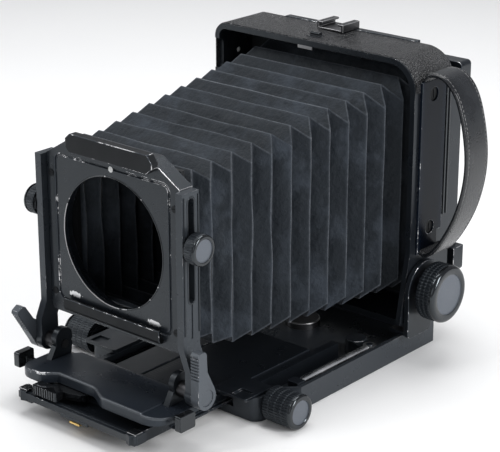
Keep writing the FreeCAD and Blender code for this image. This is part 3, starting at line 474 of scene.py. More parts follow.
def make_finishes():
    """Every finish of the camera, by the name the pieces ask for."""
    tints = bpy.context.scene.field_camera_finishes
    black, gloss, bare = tuple(tints.enamel), tuple(tints.gloss), tuple(tints.bare_metal)
    covering, strap = tuple(tints.covering), tuple(tints.strap)
    rough = tints.enamel_roughness
    FINISH.update(
        satin=enamel("satin_enamel", black, rough),
        satin_worn=enamel("satin_enamel_worn", scaled(black, 2.4), rough - 0.06, 0.62, bare),
        panel_worn=enamel("panel_enamel_worn", scaled(black, 2.6), rough - 0.08, 0.95, bare),
        gloss=enamel("gloss_enamel", gloss, 0.13, peel=0.04, shine=0.6),
        gloss_worn=enamel("gloss_enamel_worn", scaled(gloss, 2.5), 0.22, 0.35, bare, 0.3, 0.05),
        # matte: the knobs' sunk discs; the roughness is their own, the light grey is painted light and
        # highlight from the right-hand lamp
        matte=enamel("matte_disc_painted_light", (0.088, 0.097, 0.113), 0.50, dust=0.3),
        # lever: the levers' black made lighter grey, painted light for faces lit from the right
        lever=enamel("lever_enamel_painted_light", (0.058, 0.065, 0.075), 0.40, dust=0.3),
        # frame: a lighter copy of the black enamel, painted light for the uprights and bed that the
        # right-hand lamp brightens
        frame=enamel("frame_enamel_painted_light", (0.020, 0.0235, 0.0285), 0.30, dust=0.3),
        knurl=enamel("knurl_black", scaled(black, 1.3), 0.42, dust=0.3),
        plate=enamel("strap_plate_satin", (0.0045, 0.0075, 0.015), 0.22, dust=0.1, peel=0.02, shine=0.13),
        cover=enamel("cover_enamel", (0.013, 0.0165, 0.0225), 0.30, dust=0.45),
        # the cover's front edge finish: lighter, a painted highlight, with chips worn to bare metal
        cover_worn=enamel("cover_enamel_edge_highlight_and_wear", (0.055, 0.060, 0.068), 0.28, 0.25, bare, 0.3),
        deep=enamel("inside_black", (0.004, 0.004, 0.0045), 0.5, dust=0.1, peel=0.1, shine=0.25),
        cloth=bellows_cloth(tuple(tints.cloth)),
        covering=leather("case_covering", covering, 1.1 * MM, 2.2 * MM, 0.32),
        strap=leather("strap_leather", strap, 1.1 * MM, 0.16 * MM, 0.26, 0.6),
        thread=leather("waxed_thread", (0.13, 0.13, 0.13), 0.3 * MM, 0.05 * MM, 0.6),
        chrome=metal("chrome_plate", (0.86, 0.87, 0.89), 0.26),
        steel=metal("worn_steel", (0.42, 0.42, 0.43), 0.32),
        dark_steel=metal("dark_steel", (0.09, 0.09, 0.095), 0.38),
        brass=metal("plain_brass", (0.80, 0.55, 0.20), 0.28),
        marking=enamel("pale_marking", (0.60, 0.61, 0.60), 0.5, dust=0.5),
        scale=enamel("scale_marks", (0.12, 0.12, 0.115), 0.5, dust=0.5),
        glass=ground_glass(),
    )
    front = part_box("lens_panel")[0].y
    spots = [(x * MM, front, z * MM) for x, z in ((-36, 76.6), (35.5, 75.8))]
    plain = enamel("panel_plain", scaled(black, 1.1), rough - 0.02, dust=0.35)
    FINISH["panel"] = panel_enamel("panel_enamel", plain, spots, (5.5 * MM, 4 * MM, 2.1 * MM), bare)


# ---------------------------------------------------------------- bevelled metalwork
METALWORK = {
    # finish of the faces and of the broken edges: the CAD nodes that keep their shape
    ("satin", "satin_worn"): (
        "bed_rails", "gearbox_left", "gearbox_right", "rear_brackets", "track_plate", "track_end",
        "base_carriage", "base_frame", "back_plate", "back_retainer", "glass_frame", "hood_frame",
        "hood_cover", "strut_mountings"),
    ("satin", "panel_worn"): ("case_shell",),
    ("panel", "panel_worn"): ("lens_panel",),
    ("deep", "panel_worn"): ("board_lock_bar", "board_lip"),
    # frame (here and for the bed tray): the black enamel lightened as painted light
    ("frame", "satin_worn"): ("upright_left", "upright_right"),
    ("gloss", "gloss_worn"): ("swing_lever", "release_tab_left", "release_tab_right", "hood_catch"),
    ("frame", "gloss_worn"): ("bed_tray",),
    # lever is a lighter copy of the black, as painted light
    ("lever", "satin_worn"): ("tilt_lever_left", "tilt_lever_right"),
    ("plate", "satin_worn"): ("strap_plate",),
    ("dark_steel", "steel"): ("accessory_shoe", "tripod_socket"),
}
PLAIN_NODES = {
    # nodes that stay as they are: small, or inside the camera
    "dark_steel": ("pinion_shaft", "pinions", "drive_gear_left", "drive_gear_right", "focus_racks",
                   "tilt_pins", "hood_pin", "back_springs"),
    "chrome": ("strut_rods",),
    "brass": ("stop_tab",),
    "deep": ("bellows_front_frame", "bellows_rear_frame", "back_ring", "panel_screws", "strap_screws"),
    "glass": ("ground_glass",),
}


def body_of_node(node):
    return frame["nodes"][node]["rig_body"]


def break_edges(piece, width, limit):
    """Bevel the edges, in the piece's second finish."""
    bevel = piece.modifiers.new("broken edges", "BEVEL")
    bevel.width = width
    bevel.segments = 2
    bevel.limit_method = limit
    bevel.angle_limit = math.radians(40)
    bevel.material = 1
    bevel.harden_normals = True


def finished_copy(node, face, edge):
    """The node's own shape with its sharp edges broken, the broken edges in the worn finish."""
    source = frame["nodes"][node]
    mesh = source.data.copy()
    mesh.name = node + "_finished"
    mesh.materials.clear()
    mesh.materials.append(FINISH[face])
    mesh.materials.append(FINISH[edge])
    mesh.polygons.foreach_set("material_index", np.zeros(len(mesh.polygons), np.int32))
    work = bmesh.new()
    work.from_mesh(mesh)
    bmesh.ops.remove_doubles(work, verts=work.verts, dist=1e-6)
    bmesh.ops.dissolve_limit(work, angle_limit=math.radians(0.4), verts=work.verts, edges=work.edges)
    work.to_mesh(mesh)
    work.free()
    mesh.shade_smooth()
    mesh.set_sharp_from_angle(angle=math.radians(28))
    piece = in_scene(node + "_finished", mesh)
    break_edges(piece, bpy.context.scene.field_camera_sizes.edge, "ANGLE")
    return place(piece, body_of_node(node), SLOT_OF[node], node)


# ---------------------------------------------------------------- bellows
FIRST_RIDGE = 4.0 * MM          # depth of the ridge at the case's rim
FOLD_STEP = 8.75 * MM           # from a ridge of the top to the next ridge of the sides
LAST_FOLDS = (-162.0 * MM, -170.0 * MM, -177.3 * MM)
CLOTH = 0.7 * MM
FOLDS = [FIRST_RIDGE - FOLD_STEP * k for k in range(-4, 19)] + list(LAST_FOLDS)


def fold_sections(first, last):
    """Depth, half-width, top and bottom of the folds from first to last.

    The tube tapers in a straight line from the case to the panel. Even folds are ridges of the top and
    bottom, odd ones are ridges of the sides; its bottom lifts over the last folds to meet the panel.
    """
    rows = []
    for k in range(first, last + 1):
        back = FOLDS[k] - FIRST_RIDGE
        narrow = 62.7 * MM + 0.084 * back
        depth = 12.6 * MM + 0.0263 * back
        top = 196.3 * MM + 0.117 * back
        lift = max(0.0, (-144.0 * MM - FOLDS[k]) / (33.0 * MM))
        low = 42.4 * MM - 0.042 * back + 14.0 * MM * lift
        side_ridge = (k % 2 == 1) if k < 23 else k != 24
        if side_ridge:
            rows.append((FOLDS[k], narrow + depth, top - depth, low + depth))
        else:
            rows.append((FOLDS[k], narrow, top, low))
    return np.array(rows)


def bellows_surface(sections, steps, across):
    """A pleated tube.

    Between two folds the half-width, top and bottom run in straight lines, so each panel is flat; near a
    fold the position is eased by softness * (1 - cos) so that the cloth turns round it. The perimeter is
    the rectangle's, with its points bunched towards the corners, and slow waves move the cloth by a few
    tenths of a millimetre along the middle of each side.
    """
    softness = bpy.context.scene.field_camera_sizes.fold_softness
    t = np.linspace(0, len(sections) - 1, steps * (len(sections) - 1) + 1)
    fold = np.minimum(t.astype(int), len(sections) - 2)
    u = t - fold
    near = np.minimum(u, 1 - u)
    eased = np.where(near < softness, (near**2 / softness + softness) / 2, near)
    size_u = np.where(u < 0.5, eased, 1 - eased)
    low, high = sections[fold], sections[fold + 1]
    depth = low[:, 0] * (1 - u) + high[:, 0] * u
    size = low[:, 1:] * (1 - size_u)[:, None] + high[:, 1:] * size_u[:, None]
    # perimeter: 0..1 along each of the four sides, bunched towards the corners
    side = (1 - np.cos(np.linspace(0, math.pi, across)))[:-1] / 2
    ones = np.ones_like(side)
    round_x = np.concatenate([2 * side - 1, ones, 1 - 2 * side, -ones])
    round_z = np.concatenate([0 * side, side, ones, 1 - side])
    x = size[:, 0:1] * round_x
    z = size[:, 2:3] + (size[:, 1:2] - size[:, 2:3]) * round_z
    y = np.repeat(depth[:, None], len(round_x), axis=1)
    # slow waves move the cloth about, more towards the front; none at the corners or at the tube's ends
    middle = np.sin(math.pi * np.tile(side, 4))
    to_ends = np.minimum(FOLDS[0] - depth, depth - FOLDS[-1]) / (9 * MM)
    slack = (smoothstep(to_ends) * (0.25 + 0.75 * smoothstep((-depth - 40 * MM) / (110 * MM))))[:, None]
    wave = np.sin(x / (14 * MM) + y / (3.1 * MM)) + np.sin(z / (17 * MM) + y / (2.3 * MM))
    swell_x = 0.7 * MM * np.sin(z / (11 * MM) + y / (5.3 * MM) + 1.0) * np.sign(x) * (np.abs(round_x) > 0.999)
    x = x + swell_x * middle * slack
    swell_z = 0.6 * MM * np.sin(x / (13 * MM) + y / (4.7 * MM)) * (np.abs(round_z - 0.5) > 0.499)
    z = z + swell_z * middle * slack
    y = y + 0.55 * MM * slack * wave * middle
    # crease marks the folds and the perimeter's corners, where the cloth paints a highlight
    crease = 1 - smoothstep(near / 0.10)
    corner = 1 - smoothstep(np.minimum(side, 1 - side) / 0.008)
    crease = np.maximum(crease[:, None], np.tile(corner, 4))
    return np.stack([x, y, z], axis=2), crease


BELLOWS = {
    # node: the folds it runs between, and the bodies at its rear and front ends
    "bellows_rear": (0, 4, "rear_case", "bed"),
    "bellows_main": (4, 10, "bed", "track"),
    "bellows_slide": (10, 17, "track", "carriage"),
    "bellows_swing": (17, 19, "carriage", "front_base"),
    "bellows_tilt": (19, 23, "front_base", "front_standard"),
    "bellows_rise": (23, 25, "front_standard", "panel"),
}


def make_bellows_piece(node, first, last):
    sections = fold_sections(first, last)
    points, crease = bellows_surface(sections, 12, 30)
    piece = surface(node + "_cloth", points, close_columns=True, finishes=[FINISH["cloth"]], seal=False)
    mesh = piece.data
    turn_outwards(mesh)
    # the fold attribute carries the mask for the painted fold highlight
    attribute = mesh.attributes.new("fold", "FLOAT", "POINT")
    attribute.data.foreach_set("value", crease.ravel().astype(np.float32))
    mesh.set_sharp_from_angle(angle=math.radians(38))
    wall = piece.modifiers.new("cloth thickness", "SOLIDIFY")
    wall.thickness = CLOTH
    wall.offset = -1
    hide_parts(node)
    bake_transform(piece)
    return piece


# ---------------------------------------------------------------- knobs
KNOBS = {
    # pair: grip length in mm, rows of pads, the radius of the flange and of the sunk disc as shares of the
    # knob's, and the number of pads as a share of the large knob's
    "tilt_knob": (14.9, 3, 0.82, 0.70, 1.0),
    "focus_knob": (24.0, 4, 0.70, 0.70, 0.72),
    "rise_knob": (9.0, 1, 0.85, 0.74, 0.62),
}


def make_knob(node, grip, rows, flange, disc, share):
    """A turned knob along X, from its stub to its face.

    The radius follows a profile: stub, flange, a band of pads, a rounded rim and a sunk disc. In the band
    it drops by pad_depth between rows, and round each row by the flat-topped wave of cos(n * angle).
    """
    low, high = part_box(node)
    side = 1.0 if low.x + high.x > 0 else -1.0
    face, stub = max(abs(low.x), abs(high.x)), min(abs(low.x), abs(high.x))
    radius = (high.z - low.z) / 2
    centre_y, centre_z = (low.y + high.y) / 2, (low.z + high.z) / 2
    pads = int(round(bpy.context.scene.field_camera_sizes.knurls * share))
    start = face - grip * MM
    rim = radius * 0.14
    pad_depth = radius * 0.030 + 0.12 * MM
    stub_radius = radius * (0.19 if rows > 1 else 0.24)
    band_end = face - rim * 1.5
    per_row = 12
    band = np.linspace(start, band_end, rows * per_row + 1)
    place_in_row = ((band - start) / (band_end - start) * rows) % 1.0
    place_in_row[-1] = 1.0
    gap = 1 - smoothstep(np.minimum(place_in_row, 1 - place_in_row) / 0.16)
    arc = np.linspace(0, math.pi / 2, 9)
    profile_x = [stub, stub, start - 1.6 * MM, start - 1.6 * MM, start - 0.4 * MM, start]
    profile_r = [0, stub_radius, stub_radius, radius * flange, radius * flange, radius * 0.97]
    first_of_band = len(profile_x)
    profile_x += list(band)
    profile_r += list(radius - pad_depth * 1.3 * gap - pad_depth * 0.15)
    profile_x += [band_end + rim * 0.25] + list(face - rim + rim * np.sin(arc))
    profile_r += [radius - pad_depth * 1.6] + list(radius - rim + rim * np.cos(arc))
    depth = 0.9 * MM
    profile_x += list(face - depth * np.array([0.0, 0.3, 1.0, 1.0, 0.92, 0.9]))
    profile_r += list(radius * disc * np.array([1.04, 1.0, 0.985, 0.9, 0.4, 0.0]))
    profile_x, profile_r = np.array(profile_x), np.array(profile_r)
    in_band = np.zeros(len(profile_x))
    in_band[first_of_band:first_of_band + len(band)] = 1 - gap
    angle = np.linspace(0, 2 * math.pi, pads * 8, endpoint=False)
    pad = smoothstep(0.5 + 1.6 * np.cos(pads * angle))
    r = profile_r[:, None] - pad_depth * in_band[:, None] * (1 - pad)[None, :]
    x = np.repeat(profile_x[:, None], len(angle), axis=1)
    points = np.stack([side * x, centre_y + r * np.cos(angle), centre_z + r * np.sin(angle)], axis=2)
    finish = np.zeros(len(profile_x) - 1)
    finish[first_of_band:first_of_band + len(band) - 1] = 1
    # the sunk disc takes the matte finish, whose light grey is painted light
    finish[-4:] = 2                # the sunk disc
    piece = surface(node + "_turned", points, close_columns=True,
                    finishes=[FINISH["gloss"], FINISH["knurl"], FINISH["matte"]], finish_of_row=finish)
    piece.data.set_sharp_from_angle(angle=math.radians(35))
    return place(piece, body_of_node(node), SLOT_OF[node], node)


# ---------------------------------------------------------------- hand strap
STRAP_ROUTE = [(90.6, 202.5), (96.5, 207.2), (108, 205.8), (118.5, 195.5), (125.5, 177.5), (129, 155),
               (127.5, 132), (121, 108), (109, 86), (98, 75.5), (90.6, 77.2)]
SEAM_IN = 2.6 * MM              # from the strap's edge to its row of stitches
SEAM_DEPTH = 0.22 * MM
STITCH = (2.2 * MM, 0.36 * MM)  # length and radius


def make_strap():
    """A band: its section is a rounded rectangle, a little thinner along each row of stitches."""
    low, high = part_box("hand_strap")
    sizes = bpy.context.scene.field_camera_sizes
    thick = sizes.strap_thickness
    line, tangent, length = curve_through([(x * MM, 0, z * MM) for x, z in STRAP_ROUTE], 220)
    normal = np.stack([-tangent[:, 2], np.zeros(len(line)), tangent[:, 0]], axis=1)
    half = (high.y - low.y) / 2
    middle = (high.y + low.y) / 2
    v = np.linspace(-1, 1, 41)
    distance = half * (1 - np.abs(v))
    seam = np.exp(-((distance - SEAM_IN) / (0.7 * MM)) ** 2)
    edge = np.sqrt(np.clip(1 - (1 - np.minimum(distance / (1.3 * MM), 1)) ** 2, 0, 1))
    crown = SEAM_DEPTH * (1 - v**2)
    outer = thick / 2 * edge - SEAM_DEPTH * seam + crown
    inner = -thick / 2 * edge + SEAM_DEPTH * seam
    across = np.concatenate([half * v, half * v[::-1][1:-1]])
    lift = np.concatenate([outer, inner[::-1][1:-1]])
    centre = line - normal * (thick / 2)
    wave = 0.4 * MM * np.sin(np.linspace(0, 14, len(line)))
    points = centre[:, None, :] + lift[None, :, None] * normal[:, None, :]
    points[..., 1] = middle + across + wave[:, None]
    piece = surface("hand_strap_leather", points, close_columns=True, finishes=[FINISH["strap"]], seal=False)
    turn_outwards(piece.data, fill_ends=True)
    place(piece, "rear_case", "leather", "hand_strap")
    # two rows of stitches on each face
    pick = np.round(np.linspace(4, len(centre) - 5, int(length / sizes.stitch_pitch))).astype(int)
    spots = []
    for row in (-1, 1):
        for face in (-1, 1):
            spot = centre[pick] + normal[pick] * face * (thick / 2 - 0.05 * MM)
            spot[:, 1] = middle + row * (half - SEAM_IN)
            spots.append(spot)
    ways = np.tile(tangent[pick], (len(spots), 1))
    stitches = capsules("strap_stitches", np.vstack(spots), ways, *STITCH, FINISH["thread"])
    place(stitches, "rear_case", "leather")


def capsules(name, centres, along, length, radius, finish):
    """Small rounded rods: each a squashed sphere drawn out along its own direction, all in one mesh."""
    turns, rings = 6, 5
    theta = np.linspace(0, 2 * math.pi, turns, endpoint=False)
    phi = np.linspace(-math.pi / 2, math.pi / 2, rings)
    local_x = np.sin(phi)[:, None] * np.ones(turns) * length / 2
    local_y = np.cos(phi)[:, None] * np.cos(theta) * radius
    local_z = np.cos(phi)[:, None] * np.sin(theta) * radius
    helper = np.tile([0.0, 1.0, 0.0], (len(centres), 1))
    second = np.cross(along, helper)
    second /= np.linalg.norm(second, axis=1)[:, None]
    third = np.cross(along, second)
    points = (centres[:, None, None, :]
              + along[:, None, None, :] * local_x[None, :, :, None]
              + second[:, None, None, :] * local_y[None, :, :, None]
              + third[:, None, None, :] * local_z[None, :, :, None])
    faces = grid_faces(rings, turns, False, True)
    count = rings * turns
    all_faces = (faces[None] + (np.arange(len(centres)) * count)[:, None, None]).reshape(-1, 4)
    mesh = bpy.data.meshes.new(name)
    mesh.from_pydata(points.reshape(-1, 3).tolist(), [], all_faces.tolist())
    mesh.materials.append(finish)
    close_up(mesh)
    mesh.shade_smooth()
    return in_scene(name, mesh)


# ---------------------------------------------------------------- case covering
def make_covering():
    """Leatherette over the case: the case's outline, 0.6 mm proud, carried from front to rear.

    The outline runs up the left side, round two corner arcs of different radius and down the right side.
    """
    low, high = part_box("case_shell")
    wide, top = high.x, high.z
    bottom = low.z + 9 * MM
    left, right, proud = 10 * MM, 22 * MM, 0.6 * MM
    arc = np.linspace(0, math.pi / 2, 13)
    outline = [(-wide, bottom)]
    outline += [(-wide + left - left * math.cos(a), top - left + left * math.sin(a)) for a in arc]
    outline += [(wide - right + right * math.sin(a), top - right + right * math.cos(a)) for a in arc]
    outline += [(wide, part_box("strap_plate")[1].z + 1.0 * MM)]
    outline = np.array(outline)
    tangent = np.gradient(outline, axis=0)
    tangent /= np.linalg.norm(tangent, axis=1)[:, None]
    outward = np.stack([-tangent[:, 1], tangent[:, 0]], axis=1)
    front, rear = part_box("strap_plate")[0].y - 5.0 * MM, high.y - 0.6 * MM
    turned_in = np.array([0.0, 0.15, 0.6]) * MM
    section_y = np.concatenate([front + turned_in, rear - turned_in[::-1]])
    section_lift = np.array([-0.3, 0.6, 1.0, 1.0, 0.6, -0.3]) * proud
    points = np.empty((len(outline), len(section_y), 3))
    points[..., 0] = outline[:, None, 0] + outward[:, None, 0] * section_lift
    points[..., 1] = section_y
    points[..., 2] = outline[:, None, 1] + outward[:, None, 1] * section_lift
    ends = [np.repeat(points[k:k + 1].mean(axis=1, keepdims=True), len(section_y), axis=1) for k in (0, -1)]
    points = np.concatenate([ends[0], points[:1], points, points[-1:], ends[1]])
    piece = surface("case_covering", points, close_columns=True, finishes=[FINISH["covering"]])
    piece.data.set_sharp_from_angle(angle=math.radians(50))
    return place(piece, "rear_case", "leather")


# ---------------------------------------------------------------- small marks
def dome(radius, height, rings, turns):
    """Two coordinates across a flat dome and its height, h (1 - r^2), at each ring and turn."""
    r = np.linspace(0, 1, rings)[:, None]
    theta = np.linspace(0, 2 * math.pi, turns, endpoint=False)
    return radius * r * np.cos(theta), radius * r * np.sin(theta), height * (1 - r**2) + 0 * theta


def make_panel_dot():
    """The pale centre mark above the lens opening."""
    low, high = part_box("lens_panel")
    along_x, up, lift = dome(2.0 * MM, 0.12 * MM, 6, 28)
    points = np.stack([along_x, low.y - lift, high.z - 13.8 * MM + up], axis=2)
    return place(surface("centre_dot", points, close_columns=True, finishes=[FINISH["marking"]]),
                 "panel", "black_paint")


def make_track_scale():
    """Engraved focusing marks beside the track's slot: thin bars, every fifth one longer."""
    low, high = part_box("track_plate")
    top = high.z + 0.03 * MM
    mark = np.arange(16)
    start_y = low.y + (72 + 2.5 * mark) * MM
    length = np.where(mark % 5 == 0, 6.0, 3.6) * MM
    corner = np.array([(0, -0.5), (1, -0.5), (1, 0.5), (0, 0.5)])
    points = np.empty((len(mark), 4, 3))
    points[..., 0] = -6.0 * MM + corner[:, 0] * length[:, None]
    points[..., 1] = start_y[:, None] + corner[:, 1] * 0.3 * MM
    points[..., 2] = top
    mesh = bpy.data.meshes.new("track_scale")
    mesh.from_pydata(points.reshape(-1, 3).tolist(), [], np.arange(len(mark) * 4).reshape(-1, 4).tolist())
    mesh.materials.append(FINISH["scale"])
    return place(in_scene("track_scale", mesh), "track", "black_paint")


def make_lens_rim():
    """The lens opening's turned edge: a thin ring, bare along its left and lower parts with gaps."""
    radius = 44.0 * MM
    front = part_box("lens_panel")[0].y
    centre_z = 121.2 * MM
    around = np.linspace(0, 2 * math.pi, 240, endpoint=False)
    across = np.linspace(0, 2 * math.pi, 8, endpoint=False)
    ring = radius + 0.15 * MM + 0.45 * MM * np.cos(across)
    points = np.empty((len(around), len(across), 3))
    points[..., 0] = ring * np.cos(around)[:, None]
    points[..., 1] = front + 0.35 * MM * np.sin(across)
    points[..., 2] = centre_z + ring * np.sin(around)[:, None]
    ragged = np.sin(around * 23) + np.sin(around * 41 + 1.3) + np.sin(around * 67 + 2.1)
    turn = np.degrees(around)
    inside = smoothstep((turn - 140) / 25) * smoothstep((292 - turn) / 20)
    bare = (ragged + 5.2 * inside > 2.3).astype(int)
    piece = surface("lens_rim", points, close_rows=True, close_columns=True,
                    finishes=[FINISH["gloss"], FINISH["steel"]], finish_of_row=bare)
    return place(piece, "panel", "black_paint")


COVER_HALF = 65.0 * MM
COVER_FRONT, COVER_REAR = -222.0 * MM, -184.0 * MM
COVER_LOW, COVER_TOP = 21.4 * MM, 28.5 * MM
COVER_EDGE = 1.4 * MM


def make_base_cover():
    """The cast cover of the front base, as closed sections across X.

    Its front edge is straight, turned back by a quarter circle at each end, and recedes into a bay by the
    product of two smoothsteps. The middle stands 0.9 mm above the shoulders, which fall away outward. Each
    section goes up the front wall, over a quarter circle, along the top and down the rear wall.
    """
    edge_steps = COVER_EDGE * (1 - np.cos(np.linspace(0, math.pi / 2, 6)))
    step_at, step_wide = 49.6 * MM, 0.7 * MM
    steps = step_at + step_wide * np.array([-0.5, 0.0, 0.25, 0.5, 0.75, 1.0, 1.5])
    x = np.concatenate([np.linspace(-COVER_HALF + COVER_EDGE, COVER_HALF - COVER_EDGE, 150),
                        COVER_HALF - edge_steps, -COVER_HALF + edge_steps, steps, -steps])
    x = np.unique(np.round(x, 7))
    corner = 14 * MM
    past = np.clip(np.abs(x) - (COVER_HALF - corner), 0, corner)
    front = COVER_FRONT + corner - np.sqrt(corner**2 - past**2 + 1e-12)
    bay = smoothstep((x + 43 * MM) / (12 * MM)) * smoothstep((18 * MM - x) / (20 * MM))
    front = front + 8 * MM * bay
    rear = COVER_REAR + 4 * MM * smoothstep((48 * MM - np.abs(x)) / (4 * MM))
    shoulder = 0.9 * MM * smoothstep((np.abs(x) - step_at) / step_wide)
    fall = 1.3 * MM * smoothstep((np.abs(x) - 50 * MM) / (17 * MM))
    inward = np.clip(1 - (COVER_HALF - np.abs(x)) / COVER_EDGE, 0, 1)
    top = COVER_TOP - shoulder - fall - COVER_EDGE * (1 - np.sqrt(np.clip(1 - inward**2, 0, 1)))
    arc = np.linspace(0, math.pi / 2, 6)
    up = COVER_EDGE * (1 - np.sin(arc))
    back = COVER_EDGE * (1 - np.cos(arc))
    flat = np.linspace(0, 1, 12)[1:-1]
    ys = [front + 3 * MM, front, front]
    zs = [0 * x + COVER_LOW, 0 * x + COVER_LOW, 0 * x + COVER_LOW + 0.5 * MM]
    for b, u in zip(back, up):
        ys.append(front + b)
        zs.append(top - u)
    for share in flat:
        ys.append((front + COVER_EDGE) * (1 - share) + (rear - COVER_EDGE) * share)
        zs.append(top)
    for b, u in zip(back[::-1], up[::-1]):
        ys.append(rear - b)
        zs.append(top - u)
    ys.append(rear)
    zs.append(0 * x + COVER_LOW)
    ys, zs = np.array(ys), np.array(zs)
    points = np.stack([np.repeat(x[None, :], len(ys), axis=0), ys, zs], axis=2)
    cap_left = np.repeat(points[:, :1].mean(axis=0, keepdims=True), len(ys), axis=0)
    cap_right = np.repeat(points[:, -1:].mean(axis=0, keepdims=True), len(ys), axis=0)
    points = np.concatenate([cap_left, points, cap_right], axis=1)
    finish = np.zeros(len(ys), int)
    # the rounded front edge is painted lighter as a highlight, and chipped to bare metal
    finish[3:8] = 1                # the rounded front edge
    piece = surface("base_cover_cast", points, close_rows=True,
                    finishes=[FINISH["cover"], FINISH["cover_worn"]], finish_of_row=finish)
    piece.data.set_sharp_from_angle(angle=math.radians(32))
    return place(piece, "front_base", SLOT_OF["base_cover"], "base_cover")


def swept_ring(name, path, outward, section, finish):
    """A closed section carried round a closed path in a plane of constant X.

    Each point is path + a * outward + b * X for the section's pairs (a, b).
    """
    points = path[:, None, :] + section[None, :, :1] * outward[:, None, :]
    points[..., 0] += section[None, :, 1]
    return surface(name, points, close_rows=True, close_columns=True, finishes=[finish])


def make_slot_rims():
    """A raised oval rim round each upright's slot, with a long rib before and behind it."""
    for side, node in ((1, "upright_right"), (-1, "upright_left")):
        face = side * 65.0 * MM
        centre_y, low, high = -189.2 * MM, 99.5 * MM, 163.0 * MM
        radius = 3.1 * MM
        a = np.linspace(0, math.pi, 17)
        ys = np.concatenate([np.cos(a), -np.cos(a)])
        zs = np.concatenate([np.sin(a), -np.sin(a)])
        outward = np.stack([0 * ys, ys, zs], axis=1)
        end_z = np.repeat([high, low], len(a))
        path = np.stack([face + 0 * ys, centre_y + radius * ys, end_z + radius * zs], axis=1)
        section = np.array([(-0.7, 0), (-0.55, 0.18), (0, 0.25), (0.55, 0.18), (0.7, 0), (0, -0.2)]) * MM
        section[:, 1] *= side
        place(swept_ring("slot_rim_" + node[8:], path, outward, section, FINISH["satin"]),
              "front_standard", "black_paint")
        for number, y in enumerate((-196.0 * MM, -183.2 * MM)):
            slab("upright_rib_%s_%d" % (node[8:], number),
                 (min(face, face + side * 0.6 * MM), y, 76 * MM),
                 (max(face, face + side * 0.6 * MM), y + 1.1 * MM, 167 * MM),
                 0.25 * MM, FINISH["satin"], "front_standard", "black_paint")


def slab(name, low, high, edge, finish, body, slot, worn=None):
    """A block between two corners: corner k takes low or high by the bits of k; edges are bevelled."""
    bits = np.array([[(k >> n) & 1 for n in range(3)] for k in range(8)])
    corners = np.where(bits == 1, np.array(high), np.array(low))
    faces = [(0, 2, 3, 1), (4, 5, 7, 6), (0, 1, 5, 4), (2, 6, 7, 3), (0, 4, 6, 2), (1, 3, 7, 5)]
    mesh = bpy.data.meshes.new(name)
    mesh.from_pydata(corners.tolist(), [], faces)
    mesh.materials.append(finish)
    mesh.materials.append(worn or finish)
    mesh.shade_smooth()
    piece = in_scene(name, mesh)
    break_edges(piece, edge, "NONE")
    return place(piece, body, slot)


def make_case_fittings():
    """The pale spring leaf under the hood's top, the ribs of the side and the left wall's screw."""
    slab("spring_leaf", (-14.5 * MM, 9.0 * MM, 207.6 * MM), (-1.5 * MM, 9.8 * MM, 210.6 * MM), 0.2 * MM,
         FINISH["steel"], "rear_case", "black_steel")
    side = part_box("case_shell")[1].x
    bottom, top = 98 * MM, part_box("strap_plate")[1].z
    for number, y in enumerate((43.0, 46.6)):
        slab("side_rib_%d" % number, (side - 0.5 * MM, y * MM, bottom),
             (side + 0.9 * MM, (y + 1.6) * MM, top), 0.3 * MM, FINISH["gloss"], "rear_case", "black_paint")
    along_y, up, lift = dome(1.9 * MM, 0.8 * MM, 5, 20)
    points = np.stack([-86.0 * MM + lift, 27.6 * MM + along_y, 190.6 * MM + up], axis=2)
    place(surface("wall_screw", points, close_columns=True, finishes=[FINISH["marking"]]),
          "rear_case", "black_steel")


def make_track_corners():
    """The bright-edged spring clips at the track's front corners, each a slab."""
    low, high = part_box("track_end")
    for side in (-1, 1):
        inner, outer = sorted((side * 46 * MM, side * 53.6 * MM))
        slab("corner_clip_%s" % ("right" if side > 0 else "left"),
             (inner, low.y + 2.0 * MM, high.z - 0.2 * MM), (outer, low.y + 9.0 * MM, high.z + 0.9 * MM),
             0.3 * MM, FINISH["gloss"], "track", "black_paint", FINISH["steel"])


# ---------------------------------------------------------------- stage
LIGHTS = {
    # name: direction from the camera, distance and size in metres, power in watts
    "top_softbox": ((-0.15, 0.25, 1.0), 1.5, (1.0, 1.0), 20),
    "left_softbox": ((-1.0, -0.55, 0.65), 1.6, (0.5, 1.1), 7),
    "right_softbox": ((1.0, 0.05, 0.45), 1.7, (0.40, 1.0), 25),
    "front_fill": ((0.35, -1.0, 0.35), 1.9, (1.2, 0.8), 3),
    "rim_strip": ((-0.35, -0.75, 1.1), 1.6, (0.12, 0.7), 4),
}


